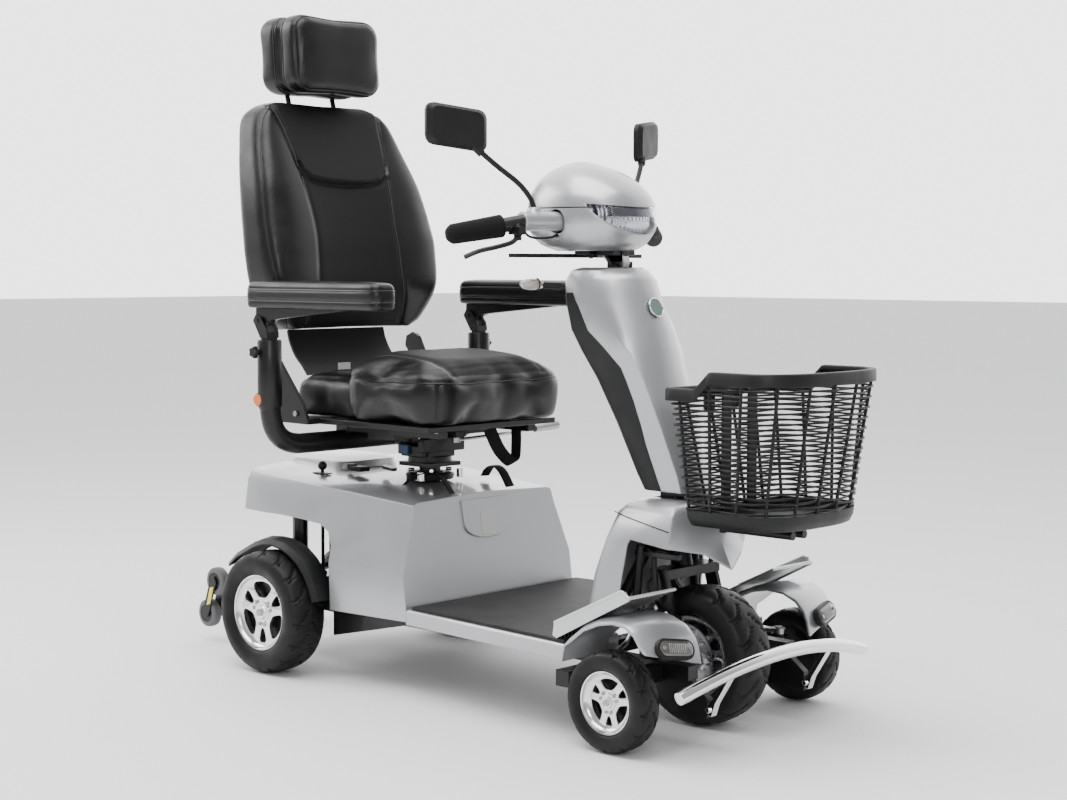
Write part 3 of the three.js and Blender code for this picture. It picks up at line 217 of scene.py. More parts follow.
def piece(name, shape, material, body, stands_for=(), bevel=0.0, angle=38):
    return dress(mesh_object(name, shape), material, body, stands_for, bevel, angle)


def punched_plate(outline, holes, thickness, bevel, place):
    """A flat plate with holes and rounded edges, as a shape; place maps its (u, v, w) into millimetres."""
    curve = bpy.data.curves.new("plate", "CURVE")
    curve.dimensions = "2D"
    curve.fill_mode = "BOTH"
    curve.extrude = thickness / 2 - bevel
    curve.bevel_depth = bevel
    curve.bevel_resolution = 1
    for loop in (outline, *holes):
        spline = curve.splines.new("POLY")
        spline.points.add(len(loop) - 1)
        for point, (u, v) in zip(spline.points, loop):
            point.co = (u, v, 0, 1)
        spline.use_cyclic_u = True
    carrier = bpy.data.objects.new("plate", curve)
    bpy.context.scene.collection.objects.link(carrier)
    bpy.context.view_layer.update()
    made = bpy.data.meshes.new_from_object(carrier.evaluated_get(bpy.context.evaluated_depsgraph_get()))
    points = [place(*v.co) for v in made.vertices]
    faces = [tuple(p.vertices) for p in made.polygons]
    bpy.data.objects.remove(carrier)
    bpy.data.curves.remove(curve)
    bpy.data.meshes.remove(made)
    return points, faces


def circle(radius, count, u=0.0, v=0.0):
    turns = np.linspace(0, 2 * math.pi, count, endpoint=False)
    return [(u + radius * math.cos(t), v + radius * math.sin(t)) for t in turns]


# ---- Materials ------------------------------------------------------------------------------------------


def surface(name, colour, roughness, metallic=0.0, coat=0.0, sheen=0.0, transmission=0.0, specular=0.5):
    made = bpy.data.materials.new(name)
    made.use_nodes = True
    shader = made.node_tree.nodes["Principled BSDF"]
    shader.inputs["Base Color"].default_value = (*colour, 1)
    shader.inputs["Roughness"].default_value = roughness
    shader.inputs["Metallic"].default_value = metallic
    shader.inputs["Coat Weight"].default_value = coat
    shader.inputs["Coat Roughness"].default_value = 0.06
    shader.inputs["Sheen Weight"].default_value = sheen
    shader.inputs["Transmission Weight"].default_value = transmission
    shader.inputs["Specular IOR Level"].default_value = specular
    return made


def node(material, kind, **values):
    made = material.node_tree.nodes.new(kind)
    for key, value in values.items():
        if key in made.inputs:
            made.inputs[key].default_value = value
        else:
            setattr(made, key, value)
    return made


def wire(material, source, output, target, socket):
    material.node_tree.links.new(source.outputs[output], target.inputs[socket])


def object_place(material):
    return node(material, "ShaderNodeTexCoord")


def add_bump(material, texture, output, distance, strength=1.0, rounding=0.0):
    """Sends a texture to the shader's normal as a bump, over edges rounded by a radius in metres."""
    shader = material.node_tree.nodes["Principled BSDF"]
    bump = node(material, "ShaderNodeBump", Distance=distance, Strength=strength)
    wire(material, texture, output, bump, "Height")
    if rounding:
        edges = node(material, "ShaderNodeBevel", Radius=rounding, samples=4)
        wire(material, edges, "Normal", bump, "Normal")
    wire(material, bump, "Normal", shader, "Normal")
    return bump


def grain(material, scale, distance, kind="ShaderNodeTexNoise", strength=1.0, rounding=0.0, stretch=None):
    coordinates = object_place(material)
    texture = node(material, kind, Scale=scale)
    source = coordinates
    output = "Object"
    if stretch:
        mapping = node(material, "ShaderNodeMapping", Scale=stretch)
        wire(material, coordinates, "Object", mapping, "Vector")
        source = mapping
        output = "Vector"
    wire(material, source, output, texture, "Vector")
    height = "Distance" if kind == "ShaderNodeTexVoronoi" else "Fac"
    add_bump(material, texture, height, distance, strength, rounding)
    return texture


def vary(material, socket, low, high, scale, detail=4.0):
    """Lets a value wander between two limits over the surface, as wear, dust and handling do."""
    coordinates = object_place(material)
    noise = node(material, "ShaderNodeTexNoise", Scale=scale, Detail=detail)
    wire(material, coordinates, "Object", noise, "Vector")
    if isinstance(low, tuple):
        ramp = node(material, "ShaderNodeValToRGB")
        ramp.color_ramp.elements[0].position = 0.38
        ramp.color_ramp.elements[0].color = (*low, 1)
        ramp.color_ramp.elements[1].position = 0.64
        ramp.color_ramp.elements[1].color = (*high, 1)
        wire(material, noise, "Fac", ramp, "Fac")
        wire(material, ramp, "Color", material.node_tree.nodes["Principled BSDF"], socket)
        return
    span = node(material, "ShaderNodeMapRange")
    span.inputs["From Min"].default_value = 0.35
    span.inputs["From Max"].default_value = 0.65
    span.inputs["To Min"].default_value = low
    span.inputs["To Max"].default_value = high
    wire(material, noise, "Fac", span, "Value")
    wire(material, span, "Result", material.node_tree.nodes["Principled BSDF"], socket)


def silver_paint():
    made = surface("silver_paint", (0.43, 0.435, 0.45), 0.36, metallic=0.7, coat=0.6)
    grain(made, 2600, 0.00002, strength=0.5, rounding=0.0045)
    vary(made, "Roughness", 0.31, 0.37, 9)
    return made


def black_powder():
    made = surface("black_powder", (0.006, 0.006, 0.0065), 0.36, coat=0.1, specular=0.3)
    grain(made, 700, 0.00006, strength=0.35, rounding=0.0012)
    vary(made, "Roughness", 0.3, 0.45, 25)
    return made


def textured_plastic():
    made = surface("textured_plastic", (0.007, 0.0072, 0.0078), 0.46, specular=0.28)
    grain(made, 1400, 0.00009, kind="ShaderNodeTexVoronoi", strength=0.4, rounding=0.0012)
    vary(made, "Roughness", 0.42, 0.54, 14)
    return made


def vinyl():
    made = surface("vinyl", (0.0045, 0.0045, 0.005), 0.36, coat=0.05, specular=0.34)
    pores = grain(made, 620, 0.00022, kind="ShaderNodeTexVoronoi", strength=0.42)
    pores.inputs["Randomness"].default_value = 1.0
    vary(made, "Roughness", 0.3, 0.44, 18)
    return made


def panel_fabric():
    """The finer, duller cloth of the seat's middle panels."""
    made = surface("panel_fabric", (0.0042, 0.0040, 0.0038), 0.6, specular=0.22)
    coordinates = object_place(made)
    weave = node(made, "ShaderNodeTexChecker", Scale=620)
    wire(made, coordinates, "Object", weave, "Vector")
    add_bump(made, weave, "Fac", 0.0001, 0.3)
    return made


def tyre_rubber():
    made = surface("tyre_rubber", (0.006, 0.006, 0.0065), 0.48, specular=0.24)
    grain(made, 420, 0.00012, strength=0.35)
    vary(made, "Base Color", (0.0045, 0.0045, 0.005), (0.010, 0.010, 0.0105), 14)
    vary(made, "Roughness", 0.42, 0.6, 30)
    return made


def deck_rubber():
    """Fine ribs that run along the scooter."""
    made = surface("deck_rubber", (0.016, 0.016, 0.0165), 0.62, specular=0.3)
    coordinates = object_place(made)
    ribs = node(made, "ShaderNodeTexWave", Scale=42, Distortion=0.0)
    ribs.bands_direction = "Y"
    wire(made, coordinates, "Object", ribs, "Vector")
    add_bump(made, ribs, "Fac", 0.0009, 0.8)
    vary(made, "Base Color", (0.011, 0.011, 0.0115), (0.021, 0.0205, 0.0205), 11)
    return made


def alloy():
    made = surface("alloy", (0.80, 0.80, 0.81), 0.2, metallic=1.0)
    grain(made, 300, 0.00002, strength=0.3, stretch=(1, 12, 1))
    vary(made, "Roughness", 0.14, 0.26, 40)
    return made


def chrome():
    made = surface("chrome", (0.83, 0.83, 0.84), 0.06, metallic=1.0)
    vary(made, "Roughness", 0.04, 0.1, 12)
    return made


def brushed_plate():
    """Bright sheet with rows of round holes, with painted shade in each hole where the sheet is punched
    through.
    """
    made = surface("brushed_plate", (0.55, 0.56, 0.57), 0.34, metallic=0.85)
    shader = made.node_tree.nodes["Principled BSDF"]
    coordinates = object_place(made)
    pitch = node(made, "ShaderNodeVectorMath", operation="SCALE")
    pitch.inputs["Scale"].default_value = 95.0
    wire(made, coordinates, "Object", pitch, "Vector")
    flat = node(made, "ShaderNodeVectorMath", operation="MULTIPLY")
    flat.inputs[1].default_value = (1, 1, 0)
    wire(made, pitch, "Vector", flat, "Vector")
    cell = node(made, "ShaderNodeVectorMath", operation="FRACTION")
    wire(made, flat, "Vector", cell, "Vector")
    middle = node(made, "ShaderNodeVectorMath", operation="DISTANCE")
    middle.inputs[1].default_value = (0.5, 0.5, 0)
    wire(made, cell, "Vector", middle, "Vector")
    hole = node(made, "ShaderNodeMath", operation="LESS_THAN")
    hole.inputs[1].default_value = 0.3
    wire(made, middle, "Value", hole, "Value")
    # The near-black colour in the holes is painted shade: the darkness seen through the punched sheet.
    sheet_and_hole_shade = node(made, "ShaderNodeMix", data_type="RGBA")
    sheet_and_hole_shade.inputs["A"].default_value = (0.55, 0.56, 0.57, 1)
    sheet_and_hole_shade.inputs["B"].default_value = (0.006, 0.006, 0.007, 1)
    wire(made, hole, "Value", sheet_and_hole_shade, "Factor")
    made.node_tree.links.new(sheet_and_hole_shade.outputs["Result"], shader.inputs["Base Color"])
    return made


def foam():
    made = surface("foam", (0.005, 0.005, 0.0055), 0.8, specular=0.2)
    grain(made, 1500, 0.0003, strength=0.5)
    return made


def webbing():
    made = surface("webbing", (0.006, 0.006, 0.0065), 0.75, specular=0.2)
    coordinates = object_place(made)
    weave = node(made, "ShaderNodeTexChecker", Scale=900)
    wire(made, coordinates, "Object", weave, "Vector")
    add_bump(made, weave, "Fac", 0.0002, 0.5)
    return made


def clear_lens():
    made = surface("clear_lens", (0.97, 0.98, 1.0), 0.04, transmission=1.0)
    made.node_tree.nodes["Principled BSDF"].inputs["IOR"].default_value = 1.18
    return made


def steel():
    made = surface("steel", (0.36, 0.36, 0.37), 0.3, metallic=1.0)
    vary(made, "Roughness", 0.22, 0.42, 60)
    return made


SILVER = silver_paint()
POWDER = black_powder()
PLASTIC = textured_plastic()
VINYL = vinyl()
PANEL = panel_fabric()
TYRE = tyre_rubber()
DECK = deck_rubber()
ALLOY = alloy()
CHROME = chrome()
PLATE = brushed_plate()
FOAM = foam()
WEBBING = webbing()
LENS = clear_lens()
STEEL = steel()
PIPING = surface("piping", (0.006, 0.006, 0.007), 0.32, coat=0.1, specular=0.4)
THREAD = surface("thread", (0.035, 0.035, 0.037), 0.6)
GAP_SHADOW = surface("gap_shadow", (0.004, 0.004, 0.004), 0.9)
SMOKED = surface("smoked_lens", (0.075, 0.07, 0.066), 0.12, coat=0.8)
FROSTED = surface("frosted_lens", (0.50, 0.44, 0.38), 0.25, coat=0.8)
VISOR = surface("visor", (0.16, 0.16, 0.18), 0.22, metallic=0.8)
# White for the painted highlight in the middle of the headlamp.
LAMP_HIGHLIGHT_WHITE = surface("painted_lamp_highlight", (0.93, 0.94, 0.97), 0.12, coat=0.5)
AMBER = surface("amber", (0.72, 0.16, 0.015), 0.3, coat=0.5)
RED = surface("red_lens", (0.45, 0.01, 0.012), 0.15, coat=1.0)
YELLOW = surface("yellow_reflector", (0.80, 0.62, 0.02), 0.3, coat=0.8)
MIRROR_GLASS = surface("mirror_glass", (0.85, 0.87, 0.89), 0.02, metallic=1.0)
COPPER = surface("copper", (0.62, 0.28, 0.14), 0.3, metallic=1.0)
FLAP = surface("flap", (0.020, 0.0195, 0.0195), 0.55, specular=0.3)
LABEL = surface("blank_label", (0.52, 0.52, 0.51), 0.55)
GREY_RUBBER = surface("grey_rubber", (0.105, 0.105, 0.11), 0.62)
BADGE = surface("badge", (0.02, 0.09, 0.06), 0.2, coat=1.0)
PALE = surface("pale_metal", (0.62, 0.63, 0.64), 0.36, metallic=0.7)
BLUE = surface("blue_block", (0.02, 0.06, 0.13), 0.45)


# ---- CAD nodes that stay --------------------------------------------------------------------------------


def finish_node(name, material, split=34):
    """Gives a CAD node its material and smooth shading, with its sharp edges kept sharp."""
    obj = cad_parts[name]
    obj.data.materials.clear()
    obj.data.materials.append(material)
    if "custom_normal" in obj.data.attributes:
        obj.data.attributes.remove(obj.data.attributes["custom_normal"])
    for polygon in obj.data.polygons:
        polygon.use_smooth = True
    weld = obj.modifiers.new("weld", "WELD")
    weld.merge_threshold = 2e-5
    edges = obj.modifiers.new("edges", "EDGE_SPLIT")
    edges.split_angle = math.radians(split)


def finish_cad_nodes():
    for name in ("rear_fairing", "battery_cover", "floor_moulding", "front_hood", "tiller_shell"):
        finish_node(name, SILVER)
    for name in (
        "main_frame",
        "anti_tip_bracket",
        "front_fork",
        "tiller_column",
        "brake_lever",
        "seat_post",
        "swivel_lever",
        "swivel_base",
        "armrest_post_left",
        "armrest_post_right",
    ):
        finish_node(name, POWDER)
    for name in (
        "freewheel_lever",
        "mudguard_left",
        "mudguard_right",
        "tiller_panel",
        "throttle_lever",
        "speed_knob",
        "mirror_left",
        "mirror_right",
        "battery_left",
        "battery_right",
    ):
        finish_node(name, PLASTIC)
    for name in ("transaxle", "slide_lever"):
        finish_node(name, STEEL)
    finish_node("deck_mat", DECK)
    for name, _ in SIDES:
        finish_node(f"knuckle_{name}", STEEL)
        finish_node(f"tie_rod_{name}", STEEL)
        finish_node(f"footplate_{name}", PLATE)


# ---- Wheels ---------------------------------------------------------------------------------------------


def tread_depth(turn, s, pitches):
    """How deep the tread is cut, from 0 to 1, at a turn of the wheel and a share of its half-width."""
    reach = np.abs(s)
    side = np.where(s > 0, 0.5, 0.0)
    sweep = 0.95 * np.sin(np.clip(reach, 0, 1) * 1.5) - 0.35 * reach**3
    inside = (reach > 0.1) & (reach < 0.9)
    long_cut = np.abs((turn * pitches + side + sweep) % 1 - 0.5)
    short_cut = np.abs((turn * pitches + side + 0.45 + 0.6 * reach) % 1 - 0.5)
    cut = np.clip((0.060 - long_cut) / 0.02, 0, 1) * inside
    short_inside = (reach > 0.42) & (reach < 0.78)
    return np.maximum(cut, np.clip((0.045 - short_cut) / 0.02, 0, 1) * short_inside)


def tyre(name, body, centre, wheel, pitches, segments=340):
    """A road tyre with curved cuts in its tread and a raised line round each side wall."""
    half = wheel["width"] / 2
    depth = wheel["radius"] - wheel["rim"]
    section = [
        (wheel["rim"] + 0.4, -half * 0.82),
        (wheel["rim"] + depth * 0.16, -half * 0.93),
        (wheel["rim"] + depth * 0.45, -half),
        (wheel["rim"] + depth * 0.8, -half * 0.9),
        (wheel["radius"] - depth * 0.05, -half * 0.58),
        (wheel["radius"], 0),
    ]
    near = smooth_path(section, 26)
    far = near[::-1][1:] * (1, -1)
    profile = np.vstack([near, far])
    radius = profile[:, 0]
    s = profile[:, 1] / half
    share = np.clip((radius - wheel["rim"]) / depth, 0, 1)
    ridge = 0.9 * np.exp(-(((share - 0.5) / 0.05) ** 2))
    cut_zone = np.clip((share - 0.6) / 0.1, 0, 1)
    rings = []
    for i in range(segments + 1):
        turn = (i % segments) / segments
        cut = 3.6 * tread_depth(turn, s, pitches) * cut_zone
        r = radius + ridge - 1.15 * cut
        angle = 2 * math.pi * turn
        rings.append(
            [
                (centre[0] + q * math.cos(angle), centre[1] + y, centre[2] + q * math.sin(angle))
                for q, y in zip(r, profile[:, 1])
            ]
        )
    shape = Shape().loft(rings, caps=False, closed=True)
    return piece(f"{name}_tread", shape, TYRE, body, [name], angle=60)


def polar_hole(radius, middle, spread, inner, outer, count=40):
    """A hole with round corners between two radii, as wide to each side of its middle angle as spread."""
    mid_r = (inner + outer) / 2 * radius
    half_r = (outer - inner) / 2 * radius
    loop = []
    for i in range(count):
        t = 2 * math.pi * i / count
        c = math.copysign(abs(math.cos(t)) ** 0.62, math.cos(t))
        s = math.copysign(abs(math.sin(t)) ** 0.62, math.sin(t))
        r = mid_r + half_r * c
        a = middle + spread * s * (0.86 + 0.14 * c)
        loop.append((r * math.cos(a), r * math.sin(a)))
    return loop


def rim(name, body, centre, wheel, side, hub_inner):
    """A machined rim: barrel with a wide lip, three pairs of spokes, hub and bolts."""
    radius = wheel["rim"]
    half = wheel["width"] * 0.41
    face = half - DISH + 9
    profile = [
        (radius, half - 2),
        (radius - 1.5, half),
        (radius - 4, half - 1),
        (radius - 6, half - 7),
        (radius - 11, face + 1),
        (radius - 17, face - 1),
        (radius - 17, face - 12),
        (radius, face - 12),
    ]
    well = [(radius, -half), (radius, face - 12.2), (radius - 18, face - 12.2), (radius - 18, -half)]
    inner = radius * 0.24
    backing = [(inner, face - 20), (inner, face - 22), (radius - 15, face - 22), (radius - 15, face - 20)]
    barrel = Shape().lathe(facing(profile, side), centre)
    dark = Shape().lathe(facing(well, side), centre)
    dark.lathe(facing(backing, side), centre)
    piece(f"{name}_well", dark, POWDER, body)
    holes = []
    bolts = []
    for i in range(3):
        wide = i * 2 * math.pi / 3 + math.pi / 2
        holes.append(polar_hole(radius, wide, 0.6, 0.37, 0.83))
        holes.append(polar_hole(radius, wide + math.pi / 3, 0.23, 0.42, 0.82, 28))
        bolts += [wide - 0.76, wide + 0.76]

    def place(u, v, w):
        return centre[0] + u, centre[1] + side * (face - 4.5) + w, centre[2] + v

    barrel.add(*punched_plate(circle(radius - 8, 96), holes, 9, 1.2, place))
    piece(f"{name}_machined", barrel, ALLOY, body, [name])
    hub = Shape()
    y0 = centre[1] - side * hub_inner
    outer = centre[1] + side * (face + 3)
    hub.rod((centre[0], y0, centre[2]), (centre[0], outer, centre[2]), radius * 0.27, 48)
    cap = ((centre[0], outer, centre[2]), (centre[0], outer + side * 4, centre[2]))
    hub.rod(*cap, radius * 0.2, 40, radius * 0.17)
    piece(f"{name}_hub", hub, ALLOY, body, bevel=0.8)
    fixings = Shape()
    for angle in bolts:
        u = 0.33 * radius * math.cos(angle)
        v = 0.33 * radius * math.sin(angle)
        foot = (centre[0] + u, centre[1] + side * (face - 1), centre[2] + v)
        head = (foot[0], foot[1] + side * 4.5, foot[2])
        fixings.rod(foot, head, radius * 0.055, 6)
    nut = (centre[0], outer + side * 3, centre[2])
    fixings.rod(nut, (nut[0], nut[1] + side * 6, nut[2]), radius * 0.1, 6)
    piece(f"{name}_bolts", fixings, STEEL, body, bevel=0.5)


def facing(profile, side):
    """The profile of a lathed piece turned to face the given side."""
    return [(r, side * y) for r, y in profile]


def tip_wheels(name, body, x, z):
    rubber = Shape()
    hubs = Shape().rod((x, -192, z), (x, 192, z), 6, 20)
    for _, side in SIDES:
        rubber.lathe(
            [(22, -12), (29, -12), (33, -9), (34, -4), (34, 4), (33, 9), (29, 12), (22, 12)],
            (x, side * 186, z),
            64,
        )
        dished = [(5, -11), (22.2, -11), (22.2, 11), (17, 11), (15, 6), (9, 6), (5, 12)]
        hubs.lathe(dished, (x, side * 186, z), 48)
        hubs.rod((x, side * 192, z), (x, side * 201, z), 7, 6)
    piece(f"{name}_rubber", rubber, GREY_RUBBER, body, [name])
    piece(f"{name}_hubs", hubs, POWDER, body, bevel=0.5)


def brake():
    """The drilled disc on the centre wheel, and the caliper's bolts, banjo and clamps on the fork leg."""
    x, z = CENTRE_WHEEL["x"], CENTRE_WHEEL["radius"]
    holes = [polar_hole(72, k * 2 * math.pi / 5, 0.42, 0.42, 0.7, 28) for k in range(5)]
    holes += [circle(2.2, 8, r * math.cos(a), r * math.sin(a)) for r, a in drilled_holes()]

    def place(u, v, w):
        return x + u, -64 + w, z + v

    disc = Shape().add(*punched_plate(circle(72, 96), holes, 4, 0.3, place))
    disc.rod((x, -30, z), (x, -67, z), 21, 40)
    piece("brake_disc", disc, STEEL, "centre_wheel")
    fittings = Shape()
    for dx, dz in ((962, 186), (990, 186), (966, 214)):
        fittings.rod((dx, -92, dz), (dx, -97, dz), 4.5, 6)
    fittings.rod((956, -99, 250), (962, -95, 238), 4.6, 16)
    hose = [(976, -95, 226), (990, -99, 236), (1002, -96, 214), (998, -92, 186)]
    fittings.tube(smooth_path(hose, 14), 1.6, 10)
    piece("caliper_fittings", fittings, CHROME, "fork", bevel=0.4)
    banjo = Shape()
    for dz in (200, 178):
        banjo.rod((977, -92, dz), (977, -98, dz), 6.5, 20)
    piece("caliper_banjo", banjo, COPPER, "fork", bevel=0.6)


def drilled_holes():
    return [(61 - 5 * (k % 3 - 1), k * 2 * math.pi / 30) for k in range(30)]


def make_wheels():
    for name, side in SIDES:
        rear = (0, side * REAR_WHEEL["track"], REAR_WHEEL["radius"])
        body = f"rear_wheel_{name}"
        tyre(f"rear_tyre_{name}", body, rear, REAR_WHEEL, 16)
        rim(f"rear_rim_{name}", body, rear, REAR_WHEEL, side, 46)
        small = (SMALL_WHEEL["x"], side * SMALL_WHEEL["y"], SMALL_WHEEL["radius"])
        body = f"front_wheel_{name}"
        tyre(f"front_tyre_{name}", body, small, SMALL_WHEEL, 13, 280)
        rim(f"front_rim_{name}", body, small, SMALL_WHEEL, side, 26)
    centre = (CENTRE_WHEEL["x"], 0, CENTRE_WHEEL["radius"])
    tyre("centre_tyre", "centre_wheel", centre, CENTRE_WHEEL, 16)
    rim("centre_rim", "centre_wheel", centre, CENTRE_WHEEL, -1, 57)
    brake()
    tip_wheels("anti_tip_wheels_upper", "tip_upper", -341, 152)
    tip_wheels("anti_tip_wheels_lower", "tip_lower", -374, 70)


# ---- Chassis details ------------------------------------------------------------------------------------


def bumper():
    """A curved chrome bar with domed ends on two cranked flat struts."""
    bar = [(1212 - 25 * (y / 305) ** 2, y, 175 - 46 * (y / 305) ** 2) for y in np.linspace(-305, 305, 41)]
    radii = [13.5] * len(bar)
    radii[0] = radii[-1] = 12.2
    piece("bumper_bar", Shape().tube(bar, radii, 32), CHROME, "chassis", ["bumper"])
    struts = Shape()
    outline = [
        (1146.5, 68),
        (1157, 66),
        (1166, 92),
        (1206, 156),
        (1197, 160),
        (1156, 98),
        (1146.5, 90),
    ]
    for _, side in SIDES:
        struts.side_plate(outline, sorted((side * 152, side * 168)))
        struts.rod((1150, side * 148, 78), (1150, side * 172, 78), 6, 6)
    piece("bumper_struts", struts, CHROME, "chassis", bevel=1.2)


def fender_lamp(side):
    """A smoked lamp with round ends on the fender's slanted front face, held by two screws."""
    origin = Vector((1131, side * 248, 205))
    normal = Vector((0.90, side * 0.16, 0.40)).normalized()
    along = Vector((-0.175, side * 0.97, 0.165))
    along = (along - normal * along.dot(normal)).normalized()
    up = normal.cross(along) * side

    def stadium(half_u, half_v, out):
        ring = []
        for k in range(40):
            t = 2 * math.pi * k / 40
            u = math.copysign(half_u - half_v, math.cos(t)) + half_v * math.cos(t)
            ring.append(tuple(origin + along * u + up * (half_v * math.sin(t)) + normal * out))
        return ring

    name = "left" if side > 0 else "right"
    rings = [stadium(*size) for size in ((45, 20, -6), (45, 20, 3), (43, 18, 5.5), (39, 14.5, 5.5))]
    piece(f"lamp_bezel_{name}", Shape().loft(rings), PLASTIC, "chassis")
    lens = Shape().loft([stadium(39, 14.5, 0), stadium(39, 14.5, 6), stadium(35, 11, 8.5)])
    piece(f"lamp_lens_{name}", lens, SMOKED, "chassis")
    inside = Shape()
    for k in range(-4, 5):
        foot = origin + along * (k * 4.6) + normal * 8.3
        inside.rod(tuple(foot - up * 9), tuple(foot + up * 9), 0.9, 8)
    for end in (-31, 31):
        foot = origin + along * end + normal * 6
        inside.rod(tuple(foot), tuple(foot + normal * 4), 4.2, 20)
    piece(f"lamp_screws_{name}", inside, STEEL, "chassis", bevel=0.3)


def footplate_lip(name, side):
    """The pale rolled edge along a footplate's outer side, and its hinge tube at the low end."""
    edge = Shape()
    outline = [(868, 203), (882, 200), (1062, 294), (1052, 310), (1040, 309), (872, 229)]
    edge.side_plate(outline, (side * 297, side * 301))
    edge.tube([(872, side * 299, 228), (1042, side * 299, 309.5)], 3.4, 14)
    edge.tube([(1042, side * 299, 309.5), (1060, side * 299, 298)], 3.4, 14)
    edge.tube([(1060, side * 160, 298.5), (1060, side * 300, 298.5)], 3.4, 14)
    edge.tube([(872, side * 160, 204), (872, side * 300, 204)], 4.0, 14)
    piece(f"footplate_lip_{name}", edge, PALE, "chassis", bevel=0.8)


def fairing_details():
    """Straps, clips, catch, rear lamps and the dark surround of the seat post on the body shell."""
    steps = ((54, 434), (56, 445), (48, 449), (30, 449), (30, 434))
    collar = [[(x, y, z) for x, y in circle(radius, 48, 211, 0)] for radius, z in steps]
    dark = Shape().loft(collar, caps=False)
    dark.box((-6, 42), (-168, -148), (441.5, 444))
    for _, side in SIDES:
        dark.box((60, 96), (side * 96 - 14, side * 96 + 14), (447, 458))
        dark.box((40, 62), (side * 96 - 6, side * 96 + 6), (449, 462))
    piece("fairing_fittings", dark, PLASTIC, "chassis", bevel=1.5)
    straps = Shape()
    for _, side in SIDES:
        loop = smooth_path(
            [
                (262, side * 128, 433),
                (284, side * 120, 452),
                (318, side * 106, 462),
                (350, side * 96, 452),
                (378, side * 92, 420),
            ],
            24,
        )
        straps.tube(loop, 12, 12, flat=0.12)
    piece("carry_straps", straps, WEBBING, "chassis")
    lamps = Shape()
    for _, side in SIDES:
        outline = [(-214, 395), (-222, 397), (-214, 428), (-206, 428)]
        lamps.side_plate(outline, sorted((side * 62, side * 118)))
    piece("rear_lamps", lamps, RED, "chassis", bevel=3)
    catch = Shape()
    for _, side in SIDES:
        catch.rod((246, side * 62, 434), (246, side * 62, 455), 8, 24)
    piece("shell_catches", catch, CHROME, "chassis", bevel=1)
    plate = Shape()
    ring = rounded_ring(0, 350, 22, 26, 5)
    plate.loft([[(416.2 + out - (z - 200) * 0.123, y, z) for y, z in ring] for out in (0, 0.9)])
    piece("blank_plate", plate, LABEL, "chassis")


def hood_details():
    """The joint between the hood's cap and its skirt, and the struts and cable seen in its arch."""
    seam = Shape()
    for _, side in SIDES:
        path = [(866, 112.8, 428), (900, 115.6, 420), (960, 119, 409), (1012, 121.5, 400)]
        seam.tube(smooth_path([(x, side * y, z) for x, y, z in path], 16), 1.1, 8)
    piece("hood_seam", seam, GAP_SHADOW, "chassis")
    parts = Shape()
    for _, side in SIDES:
        parts.tube([(906, side * 96, 210), (914, side * 88, 362)], 9, 16)
        parts.box((900, 1010), (side * 84 - 7, side * 84 + 7), (340, 352))
        brace = [(930, side * 104, 200), (960, side * 100, 262), (950, side * 90, 340)]
        parts.tube(smooth_path(brace, 12), 6, 12)
    piece("arch_struts", parts, POWDER, "chassis", bevel=1.5)


def tip_reflectors():
    shape = Shape()
    for _, side in SIDES:
        ys = (side * 201.5, side * 203.5)
        shape.side_plate([(-366, 92), (-352, 96), (-338, 140), (-352, 136)], sorted(ys))
    arms = Shape()
    for _, side in SIDES:
        outline = [(-372, 60), (-386, 68), (-352, 162), (-338, 164), (-330, 150), (-362, 66)]
        arms.side_plate(outline, sorted((side * 199, side * 201.5)))
    piece("tip_wheel_guards", arms, POWDER, "chassis", bevel=0.8)
    piece("tip_reflectors", shape, YELLOW, "chassis", bevel=0.5)


def make_chassis():
    bumper()
    for name, side in SIDES:
        fender_lamp(side)
        footplate_lip(name, side)
    fairing_details()
    hood_details()
    tip_reflectors()


# ---- Basket ---------------------------------------------------------------------------------------------


def basket_outline(z, grow=0.0, count=160):
    """Points round the basket at a height, pushed out by a length that may differ from point to point."""
    t = (z - BASKET["low"]) / (BASKET["rim"] - BASKET["low"])
    half = 158 + 32 * t
    front = BASKET["front"] - 34 * (1 - t)
    rear = BASKET["rear"] + 34 * (1 - t)
    bow = 96
    corners = []
    for i in range(25):
        turn = -math.pi / 2 + math.pi * i / 24
        x = front - bow + bow * max(0.0, math.cos(turn)) ** 0.8
        y = half * math.copysign(abs(math.sin(turn)) ** 0.7, math.sin(turn))
        corners.append((x, y))
    for k in range(5):
        turn = math.pi / 2 * k / 4
        corners.append((rear + 16 - 16 * math.sin(turn), half - 16 + 16 * math.cos(turn)))
    for k in range(5):
        turn = math.pi / 2 * k / 4
        corners.append((rear + 16 - 16 * math.cos(turn), -half + 16 - 16 * math.sin(turn)))
    loop = np.array(corners + corners[:1])
    lengths = np.concatenate([[0], np.cumsum(np.linalg.norm(np.diff(loop, axis=0), axis=1))])
    where = np.linspace(0, lengths[-1], count, endpoint=False)
    xy = np.stack([np.interp(where, lengths, loop[:, 0]), np.interp(where, lengths, loop[:, 1])], axis=1)
    ahead = np.roll(xy, -1, axis=0) - np.roll(xy, 1, axis=0)
    normal = np.stack([ahead[:, 1], -ahead[:, 0]], axis=1)
    normal /= np.linalg.norm(normal, axis=1)[:, None]
    return np.concatenate([xy + normal * np.reshape(grow, (-1, 1)), np.full((count, 1), z)], axis=1)


def rim_top(x):
    """The height of the basket's rim: lower along the back, with a ramp up to the sides."""
    return float(np.interp(x, [1000, 1125, 1160], [690, 690, BASKET["rim"]]))


